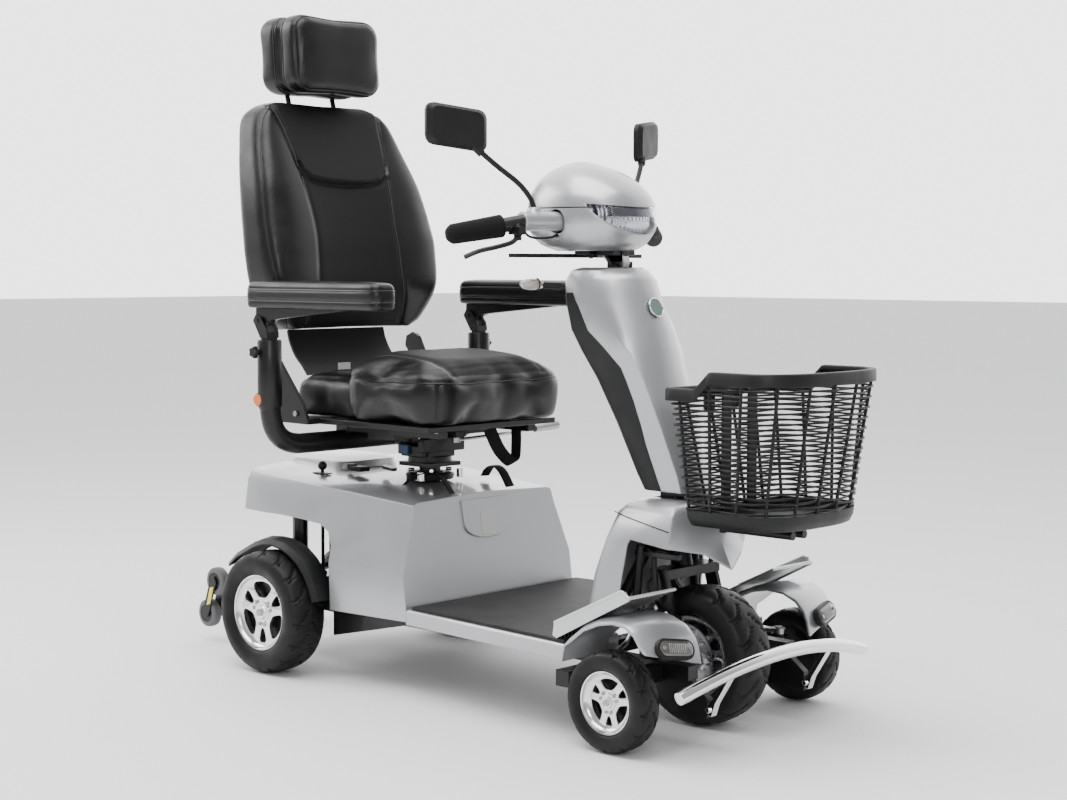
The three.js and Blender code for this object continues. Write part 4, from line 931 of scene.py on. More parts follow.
def closed_tube(shape, loop, radius, sides=6):
    """A round bar along a closed level loop."""
    loop = np.array(loop)
    ahead = np.roll(loop, -1, axis=0) - np.roll(loop, 1, axis=0)
    out = np.stack([ahead[:, 1], -ahead[:, 0], np.zeros(len(loop))], axis=1)
    out /= np.linalg.norm(out, axis=1)[:, None]
    turns = np.linspace(0, 2 * math.pi, sides, endpoint=False)
    up = np.array([0, 0, 1.0])
    rings = [[p + radius * (math.cos(t) * o + math.sin(t) * up) for t in turns] for p, o in zip(loop, out)]
    shape.loft(rings + rings[:1], caps=False)


def basket():
    """A woven basket: thin strands in front of and behind upright ribs, between a deep rim and a tray."""
    count = 192
    ribs = 16
    strands = Shape()
    heights = np.linspace(458, 700, 25)
    for k, z in enumerate(heights):
        phase = np.arange(count) * ribs / count
        weave = 3.6 * np.cos(math.pi * (phase + k))
        loop = basket_outline(z, weave - 3.0, count)
        if z < 686:
            closed_tube(strands, loop, 2.3)
        else:
            keep = [i for i in range(count) if rim_top(loop[i][0]) > z + 8]
            start = next(i for i in range(count) if i in set(keep) and (i - 1) % count not in set(keep))
            path = [loop[(start + i) % count] for i in range(len(keep))]
            strands.tube(path, 2.3, 6)
    low = basket_outline(446, -3.0, count)
    high = basket_outline(712, -3.0, count)
    for r in range(ribs):
        i = round(r * count / ribs)
        foot, top = low[i], high[i]
        share = (rim_top(top[0]) - 10 - foot[2]) / (top[2] - foot[2])
        strands.tube([foot, foot + (top - foot) * min(1.0, share)], 3.4, 8)
    piece("basket_weave", strands, PLASTIC, "tiller", ["basket"], angle=50)
    edge = Shape()
    rings = []
    inside = basket_outline(BASKET["rim"], -11, count)
    outside = basket_outline(BASKET["rim"], 2, count)
    for a, b in zip(inside, outside):
        top = rim_top(b[0])
        rings.append(
            [
                (b[0], b[1], top - 24),
                (b[0], b[1], top - 3),
                (b[0] * 0.8 + a[0] * 0.2, b[1] * 0.8 + a[1] * 0.2, top),
                (b[0] * 0.2 + a[0] * 0.8, b[1] * 0.2 + a[1] * 0.8, top),
                (a[0], a[1], top - 3),
                (a[0], a[1], top - 9),
                (b[0] * 0.7 + a[0] * 0.3, b[1] * 0.7 + a[1] * 0.3, top - 9),
                (b[0] * 0.7 + a[0] * 0.3, b[1] * 0.7 + a[1] * 0.3, top - 24),
            ]
        )
    edge.loft(rings + rings[:1], caps=False)
    steps = ((430, -14), (424.5, -9), (427, -3), (440, 1.5), (455, 1.5), (455, -6), (434, -8))
    edge.loft([basket_outline(z, grow, count) for z, grow in steps])
    for y in (-42, 42):
        edge.box((1088, 1094), (y - 13, y + 13), (440, 680))
    piece("basket_rim_and_tray", edge, PLASTIC, "tiller", angle=50)
    hooks = Shape()
    for y in (-42, 42):
        hooks.box((1044, 1052), (y - 15, y + 15), (640, 700))
    piece("basket_clips", hooks, PLASTIC, "tiller", bevel=1.5)


# ---- Tiller head ----------------------------------------------------------------------------------------

HEAD_ROWS = [
    (952, 84, 68, 712),
    (966, 116, 92, 706),
    (990, 136, 110, 703),
    (1012, 142, 117, 703),
    (1040, 141, 116, 701),
    (1070, 130, 108, 696),
    (1098, 105, 90, 688),
    (1120, 72, 62, 680),
    (1134, 34, 30, 673),
]


def head_shape(inset=0.0):
    rows = smooth_path(HEAD_ROWS, 40)
    rings = []
    for z, length, width, centre in rows:
        ring = []
        for k in range(96):
            turn = 2 * math.pi * k / 96
            c, s = math.cos(turn), math.sin(turn)
            x = math.copysign(abs(c) ** 0.9, c) * (length - inset)
            y = math.copysign(abs(s) ** 0.9, s) * (width - inset)
            ring.append((centre + x, y, z))
        rings.append(ring)
    top, middle = rows[-1][0], rows[-1][3]
    peak = [(middle + (x - middle) * 0.4, y * 0.4, top + 5 - inset) for x, y, _ in rings[-1]]
    return Shape().loft(rings + [peak])


def lamp_prism(margin):
    """The headlamp's outline, flat on top and round below, drawn out along X."""
    half = 100 + margin
    across = [-math.cos(math.pi * i / 28) for i in range(29)]
    loop = [(t * half, 1046 + margin - (60 + 2 * margin) * math.sqrt(max(0, 1 - t * t))) for t in across]
    loop += [(t * half, 1040 + margin + 6 * t * t) for t in reversed(across[1:-1])]
    return Shape().loft([[(x, y, z) for y, z in loop] for x in (745, 900)])


def combined(name, shape, cutters):
    """A new object: the shape after each (operation, shape) in turn."""
    obj = mesh_object(name, shape)
    helpers = []
    for operation, cutter in cutters:
        tool = mesh_object("cutter", cutter)
        helpers.append(tool)
        step = obj.modifiers.new("cut", "BOOLEAN")
        step.operation = operation
        step.solver = "EXACT"
        step.object = tool
    bpy.context.view_layer.update()
    made = bpy.data.meshes.new_from_object(obj.evaluated_get(bpy.context.evaluated_depsgraph_get()))
    obj.modifiers.clear()
    obj.data = made
    made.name = name
    for tool in helpers:
        bpy.data.objects.remove(tool)
    return obj


def head():
    """The domed head: cover, base, and a clear lens over a bright bowl."""
    above = Shape().box((400, 1000), (-300, 300), (1040.4, 1300))
    below = Shape().box((400, 1000), (-300, 300), (900, 1039.6))
    sleeves = Shape().rod((704, -200, 1012), (704, 200, 1012), 25, 48)
    cable_hole = Shape().rod((694, -130, 980), (702, -84, 987), 6, 24)
    gap = lamp_prism(0.9)
    cover = combined(
        "head_cover_skin", head_shape(), [("INTERSECT", above), ("DIFFERENCE", gap), ("DIFFERENCE", sleeves)]
    )
    dress(cover, SILVER, "head", ["head_cover"], angle=45)
    base = combined(
        "head_base_skin",
        head_shape(),
        [("INTERSECT", below), ("DIFFERENCE", gap), ("DIFFERENCE", sleeves), ("DIFFERENCE", cable_hole)],
    )
    dress(base, SILVER, "head", angle=45)
    shell = [("INTERSECT", lamp_prism(-0.3)), ("DIFFERENCE", head_shape(3))]
    lens = combined("headlamp_lens", head_shape(0.3), shell)
    dress(lens, LENS, "head", ["headlamp"], angle=45)
    bowl = combined("headlamp_bowl", head_shape(16), [("INTERSECT", lamp_prism(0.2))])
    dress(bowl, REFLECTOR, "head", angle=45)
    visor = combined("headlamp_visor", head_shape(9), [("INTERSECT", visor_block())])
    dress(visor, VISOR, "head", angle=45)
    # A white ball behind the lens: a painted highlight, the bright light seen in the middle of the lamp.
    painted_highlight = Shape().ball((812, 4, 1006), (20, 46, 15), 20)
    piece("headlamp_painted_highlight", painted_highlight, LAMP_HIGHLIGHT_WHITE, "head", angle=60)
    seam = Shape()
    rows = smooth_path(HEAD_ROWS, 80)
    row = min(rows, key=lambda r: abs(r[0] - 1040))
    loop = []
    for turn in np.linspace(math.radians(46), math.radians(314), 120):
        c, s = math.cos(turn), math.sin(turn)
        x = math.copysign(abs(c) ** 0.9, c) * (row[1] + 0.1)
        y = math.copysign(abs(s) ** 0.9, s) * (row[2] + 0.1)
        loop.append((row[3] + x, y, 1040))
    seam.tube(loop, 0.9, 8)
    piece("head_seam", seam, GAP_SHADOW, "head")


def visor_block():
    return Shape().box((700, 900), (-66, 62), (1022, 1040))


def reflector():
    """Bright bowl behind the headlamp lens, fluted from side to side."""
    made = surface("reflector", (0.60, 0.61, 0.66), 0.12, metallic=1.0)
    coordinates = object_place(made)
    flutes = node(made, "ShaderNodeTexWave", Scale=30, Distortion=0.4)
    flutes.bands_direction = "Y"
    wire(made, coordinates, "Object", flutes, "Vector")
    add_bump(made, flutes, "Fac", 0.004, 1.0)
    return made


REFLECTOR = reflector()


def neck():
    """What shows under the head: the pivot block, switch box and wires."""
    parts = Shape()
    parts.box((752, 796), (-9, 9), (908, 960))
    parts.box((700, 740), (-52, 52), (944, 960))
    parts.box((744, 792), (-34, 34), (942, 958))
    parts.rod((784, -24, 918), (784, 24, 918), 8, 24)
    for _, side in SIDES:
        path = [(756, side * 30, 950), (772, side * 27, 934), (780, side * 22, 905), (776, side * 18, 880)]
        parts.tube(smooth_path(path, 14), 3, 10)
    piece("neck_parts", parts, POWDER, "head", bevel=1.5)


def handlebar():
    sleeve = Shape()
    bar = Shape()
    grips = Shape()
    cable = Shape()
    for _, side in SIDES:
        run = [(704, side * 70, 1012), (704, side * 110, 1012), (684, side * 196, 1011)]
        sleeve.tube(smooth_path(run, 16), 20, 40)
        sleeve.rod((690, side * 166, 1014), (686, side * 160, 1036), 18, 40, 14)
        bar.rod((688, side * 190, 1011), (660, side * 234, 1001), 15, 32)
        bar.rod((684, side * 204, 1008), (690, side * 213, 984), 10, 24)
        bar.box((672, 704), sorted((side * 204, side * 222)), (984, 1000))
        path = smooth_path([(x, side * y, z) for x, y, z in GRIP_ENDS], 40)
        shares = np.linspace(0, 1, len(path))
        radii = (23.5 - 3.4 * shares) * np.minimum(1, ((1.02 - shares) / 0.12)) ** 0.4
        radii[0] = 19
        radii[1] = 22.5
        grips.tube(path, radii, 40)
    run = [(684, -192, 1002), (686, -180, 983), (691, -150, 977), (698, -110, 982), (704, -72, 1003)]
    cable.tube(smooth_path(run, 30), 2.6, 14)
    piece("bar_sleeves", sleeve, SILVER, "head", ["handlebar"], bevel=1.5)
    piece("bar_joints", bar, POWDER, "head", bevel=1.2)
    piece("foam_grips", grips, FOAM, "head", angle=60)
    piece("brake_cable_upper", cable, PIPING, "head")


def mirror_glass(name, side):
    ring = rounded_ring(0, 0, 61, 37, 14, 8)
    centre = Vector((600, side * 298, 1199))
    turn = Matrix.Rotation(side * 0.38, 3, "Z")
    layers = [
        [tuple(centre + turn @ Vector((depth, side * u, v + u * 0.12))) for u, v in ring]
        for depth in (-7.4, -6.5)
    ]
    glass = Shape().loft(layers)
    piece(f"mirror_glass_{name}", glass, MIRROR_GLASS, f"mirror_{name}")


def indicator(name, side):
    centre = Vector((664, side * 143, 883))
    turn = Matrix.Rotation(side * 0.42, 3, "Z")

    def turned(x, y, z):
        return tuple(centre + turn @ Vector((x, y, z)))

    def egg(scale, length=27):
        shape = Shape().ball((0, 0, 0), (15 * scale, length * scale, 12 * scale), 14)
        shape.points = [turned(*p) for p in shape.points]
        return shape

    piece(f"indicator_lens_{name}", egg(1.0), LENS, "tiller", [f"indicator_{name}"], angle=60)
    piece(f"indicator_inside_{name}", egg(0.84, 27), FROSTED, "tiller", angle=60)
    stalk = Shape().rod((676, side * 122, 881), (698, side * 90, 879), 6.5, 24)
    collar = circle(1, 32)
    stalk.tube([turned(14.6 * u, -side * 12, 11.8 * v) for u, v in collar + collar[:1]], 1.6, 8)
    piece(f"indicator_stalk_{name}", stalk, PLASTIC, "tiller", bevel=0.8)


def badge():
    """A plain round badge on the front of the tiller's cap."""
    centre = Vector((879.5, -5, 836))
    normal = Vector((0.93, 0, 0.37)).normalized()
    start = tuple(centre - normal * 2)
    face = Shape().rod(start, tuple(centre + normal * 3.2), 20, 48)
    piece("round_badge", face, BADGE, "tiller", bevel=0.8)
    ring = Shape()
    side = Vector((0, 1, 0))
    up = normal.cross(side)
    loop = circle(20, 48)
    ring.tube([tuple(centre + normal * 3 + u * side + v * up) for u, v in loop + loop[:1]], 1.5, 10)
    piece("badge_ring", ring, CHROME, "tiller")


def make_tiller():
    basket()
    head()
    neck()
    handlebar()
    badge()
    for name, side in SIDES:
        mirror_glass(name, side)
        indicator(name, side)


# ---- Seat -----------------------------------------------------------------------------------------------


def remeshed(shape, name, voxel):
    """The shape's solid as an even mesh, with the given size of cell in metres."""
    obj = mesh_object(name, shape)
    step = obj.modifiers.new("remesh", "REMESH")
    step.mode = "VOXEL"
    step.voxel_size = voxel
    bpy.context.view_layer.update()
    made = bpy.data.meshes.new_from_object(obj.evaluated_get(bpy.context.evaluated_depsgraph_get()))
    obj.modifiers.clear()
    obj.data = made
    return obj


def vertex_array(mesh):
    co = np.zeros(len(mesh.vertices) * 3, np.float32)
    mesh.vertices.foreach_get("co", co)
    return co.reshape(-1, 3).astype(float)


def evened(obj, field, rounds):
    """A value per point averaged with its neighbours' a number of times, which takes out sharp creases."""
    edges = np.zeros(len(obj.data.edges) * 2, np.int32)
    obj.data.edges.foreach_get("vertices", edges)
    a, b = edges.reshape(-1, 2).T
    count = np.maximum(np.bincount(a, minlength=len(field)) + np.bincount(b, minlength=len(field)), 1)
    for _ in range(rounds):
        total = np.zeros_like(field)
        for axis in range(field.shape[1]):
            total[:, axis] = np.bincount(a, field[b, axis], len(field))
            total[:, axis] += np.bincount(b, field[a, axis], len(field))
        field = 0.5 * field + 0.5 * total / count[:, None]
    return field


def stuff(obj, limit, ease):
    """Swells the piece as foam under a cover does: cloth under pressure, with each point's travel capped.

    Ease is how many rounds of averaging soften the cover's creases.
    """
    rest = vertex_array(obj.data)
    cloth = obj.modifiers.new("cloth", "CLOTH")
    cloth.settings.use_pressure = True
    cloth.settings.uniform_pressure_force = 4
    cloth.settings.effector_weights.gravity = 0
    cloth.settings.quality = 4
    cloth.settings.mass = 0.3
    for number in range(1, 21):
        bpy.context.scene.frame_set(number)
    made = bpy.data.meshes.new_from_object(obj.evaluated_get(bpy.context.evaluated_depsgraph_get()))
    swollen = vertex_array(made)
    bpy.data.meshes.remove(made)
    obj.modifiers.remove(cloth)
    bpy.context.scene.frame_set(1)
    travel = swollen - rest
    length = np.linalg.norm(travel, axis=1)[:, None]
    travel *= np.minimum(1.0, limit / np.maximum(length, 1e-9))
    travel = evened(obj, travel, ease)
    obj.data.vertices.foreach_set("co", (rest + travel).astype(np.float32).ravel())
    obj.data.update()


def refine(obj):
    step = obj.modifiers.new("refine", "SUBSURF")
    step.levels = 1
    step.render_levels = 1
    bpy.context.view_layer.update()
    made = bpy.data.meshes.new_from_object(obj.evaluated_get(bpy.context.evaluated_depsgraph_get()))
    obj.modifiers.clear()
    obj.data = made


def onto(obj, points, towards):
    """The points moved onto the object along a direction, or to the nearest place where that is None."""
    tree = BVHTree.FromObject(obj, bpy.context.evaluated_depsgraph_get())
    found = []
    for point in points:
        start = Vector(at(*point))
        if towards is None:
            spot = tree.find_nearest(start)[0]
        else:
            ray = Vector(towards)
            spot = tree.ray_cast(start - ray * 0.4, ray)[0]
        if spot is not None:
            found.append((spot.x * 1000 + AXLE_OFFSET, spot.y * 1000, spot.z * 1000))
    return found


def press(obj, line, depth, width):
    """Presses a channel along a line into the surface, both lengths in millimetres."""
    co = vertex_array(obj.data)
    normals = np.zeros(len(co) * 3, np.float32)
    obj.data.vertices.foreach_get("normal", normals)
    normals = normals.reshape(-1, 3)
    reach = 2.5 * width / 1000
    nearest = np.full(len(co), 1e9)
    points = np.array([at(*p) for p in line])
    for a, b in zip(points[:-1], points[1:]):
        low_corner = np.minimum(a, b) - reach
        high_corner = np.maximum(a, b) + reach
        near = np.nonzero(np.all((co > low_corner) & (co < high_corner), axis=1))[0]
        span = b - a
        t = np.clip(((co[near] - a) @ span) / max(1e-12, span @ span), 0, 1)
        gap = np.linalg.norm(co[near] - (a + t[:, None] * span), axis=1)
        nearest[near] = np.minimum(nearest[near], gap)
    fall = np.exp(-((np.minimum(nearest, 1) * 1000 / width) ** 2))
    co -= normals * (fall * depth / 1000)[:, None]
    obj.data.vertices.foreach_set("co", co.astype(np.float32).ravel())
    obj.data.update()


def seam(obj, name, line, body, towards=None, radius=1.6, material=None, channel=(2.2, 7.0)):
    """A sewn line on a cushion: a pressed channel with a cord or a row of thread lying in it."""
    lying = onto(obj, smooth_path(line, 12 * (len(line) - 1)), towards)
    press(obj, lying, *channel)
    lying = onto(obj, lying, None)
    shape = Shape().tube(lying, radius, 8)
    return piece(name, shape, material or PIPING, body)


def paint_where(obj, material, inside):
    """Gives a second material to the faces whose middle, in millimetres, is inside."""
    obj.data.materials.append(material)
    for polygon in obj.data.polygons:
        c = polygon.center
        if inside(c.x * 1000 + AXLE_OFFSET, c.y * 1000, c.z * 1000):
            polygon.material_index = len(obj.data.materials) - 1


def cushion_rings(rows, centre, half_x, half_y, radius, slope=0.0):
    """Rings up a cushion: each row is (height, inset), and the plan is a rectangle with round corners."""
    rings = []
    for z, inset in smooth_path(rows, 30):
        plan = rounded_ring(centre, 0, half_x - inset, half_y - inset, max(8, radius - inset * 0.6), 12)
        rings.append([(x, y, z - slope * (x - centre) * max(0.0, (z - 640) / 60)) for x, y in plan])
    return rings


def seat_cushion():
    """The wide front of the cushion with its seams, and the softer tongue that runs under the backrest."""
    rows = [(578, 22), (582, 8), (600, 3), (640, 0), (672, 3), (688, 12), (698, 34), (703, 70)]
    shape = Shape().loft(cushion_rings(rows, 294, 162, 223, 72, 0.08))
    obj = remeshed(shape, "cushion_front", 0.006)
    stuff(obj, 0.022, 14)
    clip_below(obj, 577.2)
    refine(obj)
    body = "seat"
    top_line = seat_edge(674, 0.985)
    seam(obj, "cushion_top_seam", top_line, body, channel=(2.0, 6.5), radius=1.5)
    for k, side in enumerate((1, -1)):
        corner = [(446, side * 196, 676), (447, side * 197, 640), (443, side * 195, 590)]
        seam(obj, f"cushion_corner_seam_{k}", corner, body, channel=(2.4, 6.5), radius=1.3)
        inner = [(150, 150, 720), (250, 148, 720), (350, 146, 715), (432, 140, 700)]
        inner = [(x, side * y, z) for x, y, z in inner]
        seam(obj, f"cushion_panel_seam_{k}", inner, body, (0, 0, -1), 1.1, THREAD, (3.0, 8.0))
    dress(obj, VINYL, body, ["seat_cushion"], angle=60)
    paint_where(obj, PANEL, lambda x, y, z: abs(y) < 146 and z > 682)
    tongue_rows = [(578, 10), (584, 2), (620, 0), (650, 6), (662, 30)]
    tongue = remeshed(Shape().loft(cushion_rings(tongue_rows, 62, 120, 190, 34)), "cushion_tongue", 0.006)
    stuff(tongue, 0.012, 14)
    clip_below(tongue, 577.2)
    refine(tongue)
    dress(tongue, VINYL, body, angle=60)


def seat_edge(z, share):
    """A line round the cushion's front and sides at a height."""
    plan = rounded_ring(294, 0, 164 * share, 225 * share, 76 * share, 12)
    start = next(i for i in range(len(plan)) if plan[i][0] < 200)
    loop = plan[start:] + plan[:start]
    front = [p for p in loop if p[0] > 150]
    front.sort(key=lambda p: math.atan2(p[1], p[0] - 150))
    return [(x, y, z) for x, y in front[::2]]


def clip_below(obj, z):
    """Keeps a cushion flat where it rests on its pan."""
    co = vertex_array(obj.data)
    co[:, 2] = np.maximum(co[:, 2], z / 1000)
    obj.data.vertices.foreach_set("co", co.astype(np.float32).ravel())
    obj.data.update()


BACK_ROWS = [
    (768, -128, -56, 196),
    (790, -136, -42, 226),
    (860, -142, -21, 262),
    (940, -146, -27, 275),
    (1000, -153, -38, 275),
    (1100, -178, -68, 262),
    (1200, -214, -112, 236),
    (1262, -238, -140, 212),
    (1292, -238, -154, 178),
    (1306, -226, -170, 140),
]


PANEL_HEIGHTS = (770, 890, 1000, 1112, 1175, 1245, 1312)
PANEL_HALVES = (150, 131, 124, 132, 140, 150, 168)


def panel_half(z):
    """Half the width of the backrest's middle panel at a height."""
    return np.interp(z, PANEL_HEIGHTS, PANEL_HALVES)


def backrest():
    """The shaped backrest: raised side bolsters, a duller middle panel and a padded yoke across the top."""
    rings = []
    for z, rear, front, half in smooth_path(BACK_ROWS, 64):
        middle, depth = (rear + front) / 2, (front - rear) / 2
        ring = []
        for x, y in rounded_ring(middle, 0, depth, half, min(depth * 0.85, 36), 12):
            wing = (abs(y) / half) ** 2
            ring.append((x + (wing - 1) * 14 * (x > middle), y, z))
        rings.append(ring)
    obj = remeshed(Shape().loft(rings), "backrest_cover", 0.006)
    stuff(obj, 0.008, 60)
    refine(obj)
    sculpt_back(obj)
    body = "backrest"
    for k, side in enumerate((1, -1)):
        panel = [(40, side * panel_half(z), z) for z in (782, 840, 889, 950, 1018, 1075, 1128)]
        seam(obj, f"back_panel_seam_{k}", panel, body, (-1, 0, 0), 1.0, THREAD, (2.6, 7.0))
        upper = [(40, side * panel_half(z), z) for z in (1150, 1174, 1210, 1243, 1276, 1296)]
        seam(obj, f"back_yoke_seam_{k}", upper, body, (-1, 0, 0), 1.0, THREAD, (2.4, 6.0))
        outline = [(z, half) for z, _, _, half in smooth_path(BACK_ROWS, 40)]
        piping = [(40, side * (half - 17), z) for z, half in outline[3:37]]
        seam(obj, f"back_piping_{k}", piping, body, (-1, 0, 0), 2.0, PIPING, (1.6, 6.0))
    yoke = [(40, y, z) for y, z in yoke_line()]
    seam(obj, "back_yoke_edge", yoke, body, (-1, 0, 0), 1.2, GAP_SHADOW, (3.0, 5.0))
    dress(obj, VINYL, body, ["backrest"], angle=60)
    paint_where(obj, PANEL, lambda x, y, z: x > -170 and abs(y) < panel_half(z) and 775 < z < 1312)


def yoke_line():
    half = [(0, 1108), (60, 1110), (108, 1117), (128, 1134), (137, 1160)]
    return [(-y, z) for y, z in reversed(half[1:])] + half


def sculpt_back(obj):
    """Pushes the front of the backrest out over the bolsters and the yoke, and in over the middle panel."""
    co = vertex_array(obj.data)
    x = co[:, 0] * 1000 + AXLE_OFFSET
    y = np.abs(co[:, 1] * 1000)
    z = co[:, 2] * 1000
    rows = np.array(BACK_ROWS)
    middle = np.interp(z, rows[:, 0], (rows[:, 1] + rows[:, 2]) / 2)
    half = np.interp(z, rows[:, 0], rows[:, 3])
    front = np.clip((x - middle) / 20, 0, 1)
    panel = panel_half(z)
    bolster = np.clip(np.sin(np.clip((y - panel) / np.maximum(half - panel, 1), 0, 1) * math.pi), 0, 1)
    edge = np.interp(y, [0, 60, 108, 128, 137, 150], [1108, 1110, 1117, 1134, 1160, 1200])
    yoke = np.clip((z - edge) / 14, 0, 1) * np.clip((panel + 4 - y) / 10, 0, 1)
    hollow = np.clip(1 - (y / np.maximum(panel, 1)) ** 2, 0, 1) * np.clip((z - 800) / 80, 0, 1)
    co[:, 0] += front * (7 * bolster + 8 * yoke - 7 * hollow * (1 - yoke)) / 1000
    obj.data.vertices.foreach_set("co", co.astype(np.float32).ravel())
    obj.data.update()


def headrest():
    """Two pillows sewn back to back on two posts; the front one has a flat face with a piped edge."""
    body = "headrest"

    def pillow(x0, x1, name, half_y, half_z, swell):
        rings = []
        middle = (x0 + x1) / 2
        for t in np.linspace(-1, 1, 17):
            shrink = 20 * abs(t) ** 5
            x = middle + (x1 - x0) / 2 * t
            plan = rounded_ring(0, 1416, half_y - shrink, half_z - shrink, 42 - shrink * 0.7, 12)
            rings.append([(x - (z - 1410) * 0.075, y, z) for y, z in plan])
        obj = remeshed(Shape().loft(rings), name, 0.005)
        stuff(obj, swell, 50)
        refine(obj)
        return obj

    back = pillow(-246, -156, "headrest_back", 132, 92, 0.006)
    front = pillow(-166, -91, "headrest_front", 136, 93, 0.006)
    seam(front, "headrest_edge", headrest_loop(-104, 126, 83), body, None, 2.0, PIPING, (1.8, 5.0))
    seam(front, "headrest_rear_edge", headrest_loop(-147, 134, 90), body, None, 1.6, PIPING, (1.6, 5.0))
    seam(back, "headrest_back_edge", headrest_loop(-180, 130, 90), body, None, 1.6, PIPING, (1.6, 5.0))
    dress(front, VINYL, body, ["headrest"], angle=60)
    dress(back, VINYL, body, angle=60)
    posts = Shape()
    for _, side in SIDES:
        low, high = [(-200 - (z - 1306) * 0.3, side * 70, z) for z in (1190, 1345)]
        posts.rod(low, high, 6, 24)
    piece("headrest_posts", posts, POWDER, body)


def headrest_loop(x, half_y, half_z):
    ring = rounded_ring(0, 1416, half_y, half_z, 38, 6)
    ring.append(ring[0])
    return [(x - (z - 1410) * 0.075, y, z) for y, z in ring]


def armrest(name, side):
    """A long pad with round ends and two piped edges, on its steel bracket."""
    body = f"armrest_{name}"
    middle = side * 331.1
    shape = Shape()
    rows = [(827.5, 7), (829, 2), (840, 0), (866, 0), (877, 3), (883, 11), (884, 20)]
    rings = []
    for z, inset in smooth_path(rows, 24):
        plan = rounded_ring(212, middle, 218 - inset, 32.5 - inset * 0.8, max(6, 20 - inset * 0.5), 10)
        rings.append([(x, y, z) for x, y in plan])
    pad = remeshed(shape.loft(rings), f"armrest_pad_{name}", 0.004)
    stuff(pad, 0.003, 40)
    refine(pad)
    for k, z in enumerate((843, 868)):
        ring = rounded_ring(212, middle, 218, 32.5, 20, 8)
        ring.append(ring[0])
        line = [(x, y, z) for x, y in ring]
        seam(pad, f"armrest_piping_{name}_{k}", line, body, None, 1.9, PIPING, (1.4, 4.5))
    dress(pad, VINYL, body, [f"armrest_{name}"], angle=60)
    bracket = Shape()
    outline = [(8, 828), (6, 796), (14, 786), (26, 786), (70, 802), (300, 824), (300, 828)]
    bracket.side_plate(outline, sorted((side * 319.5, side * 340.5)))
    bracket.rod((20, side * 318, 798), (20, side * 342, 798), 8, 24)
    piece(f"armrest_bracket_{name}", bracket, POWDER, body, bevel=1.5)


def seat_frame():
    """The bent tube with its armrest sockets, the pan, and the recline plates with their pivots."""
    half = [(0, 519), (200, 519), (262, 521), (300, 536), (322, 566), (330, 610), (330, 660)]
    path = [(42, -y, z) for y, z in reversed(half[1:])] + [(42, y, z) for y, z in half]
    tubes = Shape().tube(smooth_path(path, 90), 23, 36)
    plates = Shape().box((-50, 418), (-200, 200), (561.6, 574))
    plates.box((22, 62), (-120, 120), (536, 566))
    knobs = Shape()
    bolts = Shape()
    for _, side in SIDES:
        y = side * RECEIVER["y"]
        steps = ((23, 600), (27, 610), (27, 752), (25, 756), (19, 756), (19, 700))
        tubes.loft([[(u, v, z) for u, v in circle(r, 40, RECEIVER["x"], y)] for r, z in steps])
        outline = [(-34, 562), (62, 562), (44, 606), (-50, 716), (-66, 746), (-90, 756)]
        outline += [(-112, 746), (-116, 722), (-100, 702), (-44, 636)]
        plates.side_plate(outline, sorted((side * 228, side * 236)))
        plates.box((-30, 60), sorted((side * 196, side * 234)), (561.6, 574))
        plates.rod((-90, side * 236, 730), (-90, side * 241, 730), 24, 40)
        bolts.rod((-90, side * 246, 730), (-90, side * 251, 730), 8, 6)
        bolts.rod((20, side * 236, 585), (20, side * 241, 585), 7, 6)
        knobs.rod((34, side * 350, 728), (34, side * 362, 729), 6, 20)
        star_knob(knobs, (34, side * 361, 729), side)
    for x in (0, 90, 180, 300, 390):
        for y in (-150, 150):
            bolts.rod((x, y, 561.6), (x, y, 557), 6, 6)
    piece("seat_tube", tubes, POWDER, "seat", ["seat_frame"], bevel=0.0, angle=50)
    piece("seat_plates", plates, POWDER, "seat", bevel=1.2)
    piece("seat_bolts", bolts, STEEL, "seat", bevel=0.5)
    piece("socket_knobs", knobs, PLASTIC, "seat", bevel=1.0)


def star_knob(shape, centre, side):
    """A five-lobed hand knob facing outwards."""
    rings = []
    for depth, scale in ((0, 0.8), (2, 1.0), (9, 1.0), (12, 0.82)):
        ring = []
        for t in np.linspace(0, 2 * math.pi, 60, endpoint=False):
            r = scale * (12.2 + 1.9 * math.cos(5 * t))
            ring.append((centre[0] + r * math.cos(t), centre[1] + side * depth, centre[2] + r * math.sin(t)))
        rings.append(ring)
    shape.loft(rings)


def seat_trim():
    """Round reflectors, the flap under the backrest with its blank label, and the strap under the cushion."""
    reflectors = Shape()
    backing = Shape()
    for _, side in SIDES:
        reflectors.rod((32, side * 355.5, 623), (32, side * 358.5, 623), 13, 32)
        backing.rod((32, side * 350, 623), (32, side * 356, 623), 15, 32)
    piece("side_reflectors", reflectors, AMBER, "seat", bevel=0.8)
    piece("reflector_backs", backing, PLASTIC, "seat", bevel=0.8)
    strap = Shape()
    loop = [(372, 118, 556), (378, 112, 520), (390, 96, 484), (398, 74, 478), (390, 44, 508), (372, 30, 556)]
    strap.tube(smooth_path(loop, 40), 16, 12, flat=0.09)
    piece("under_seat_strap", strap, WEBBING, "seat")
    flap = Shape()
    rows = [(-112, 770), (-104, 744), (-84, 712), (-58, 688), (-40, 668)]
    rings = []
    for x, z in smooth_path(rows, 16):
        rings.append([(x, -150, z), (x + 2, 150, z), (x - 3, 150, z - 3), (x - 5, -150, z - 3)])
    flap.loft(rings)
    piece("back_flap", flap, FLAP, "seat")
    corners = ((-64, 676), (-26, 676), (-26, 692), (-64, 692))
    tag = Shape().loft([[(x, y, z) for y, z in corners] for x in (-34, -33)])
    piece("blank_tag", tag, LABEL, "seat")


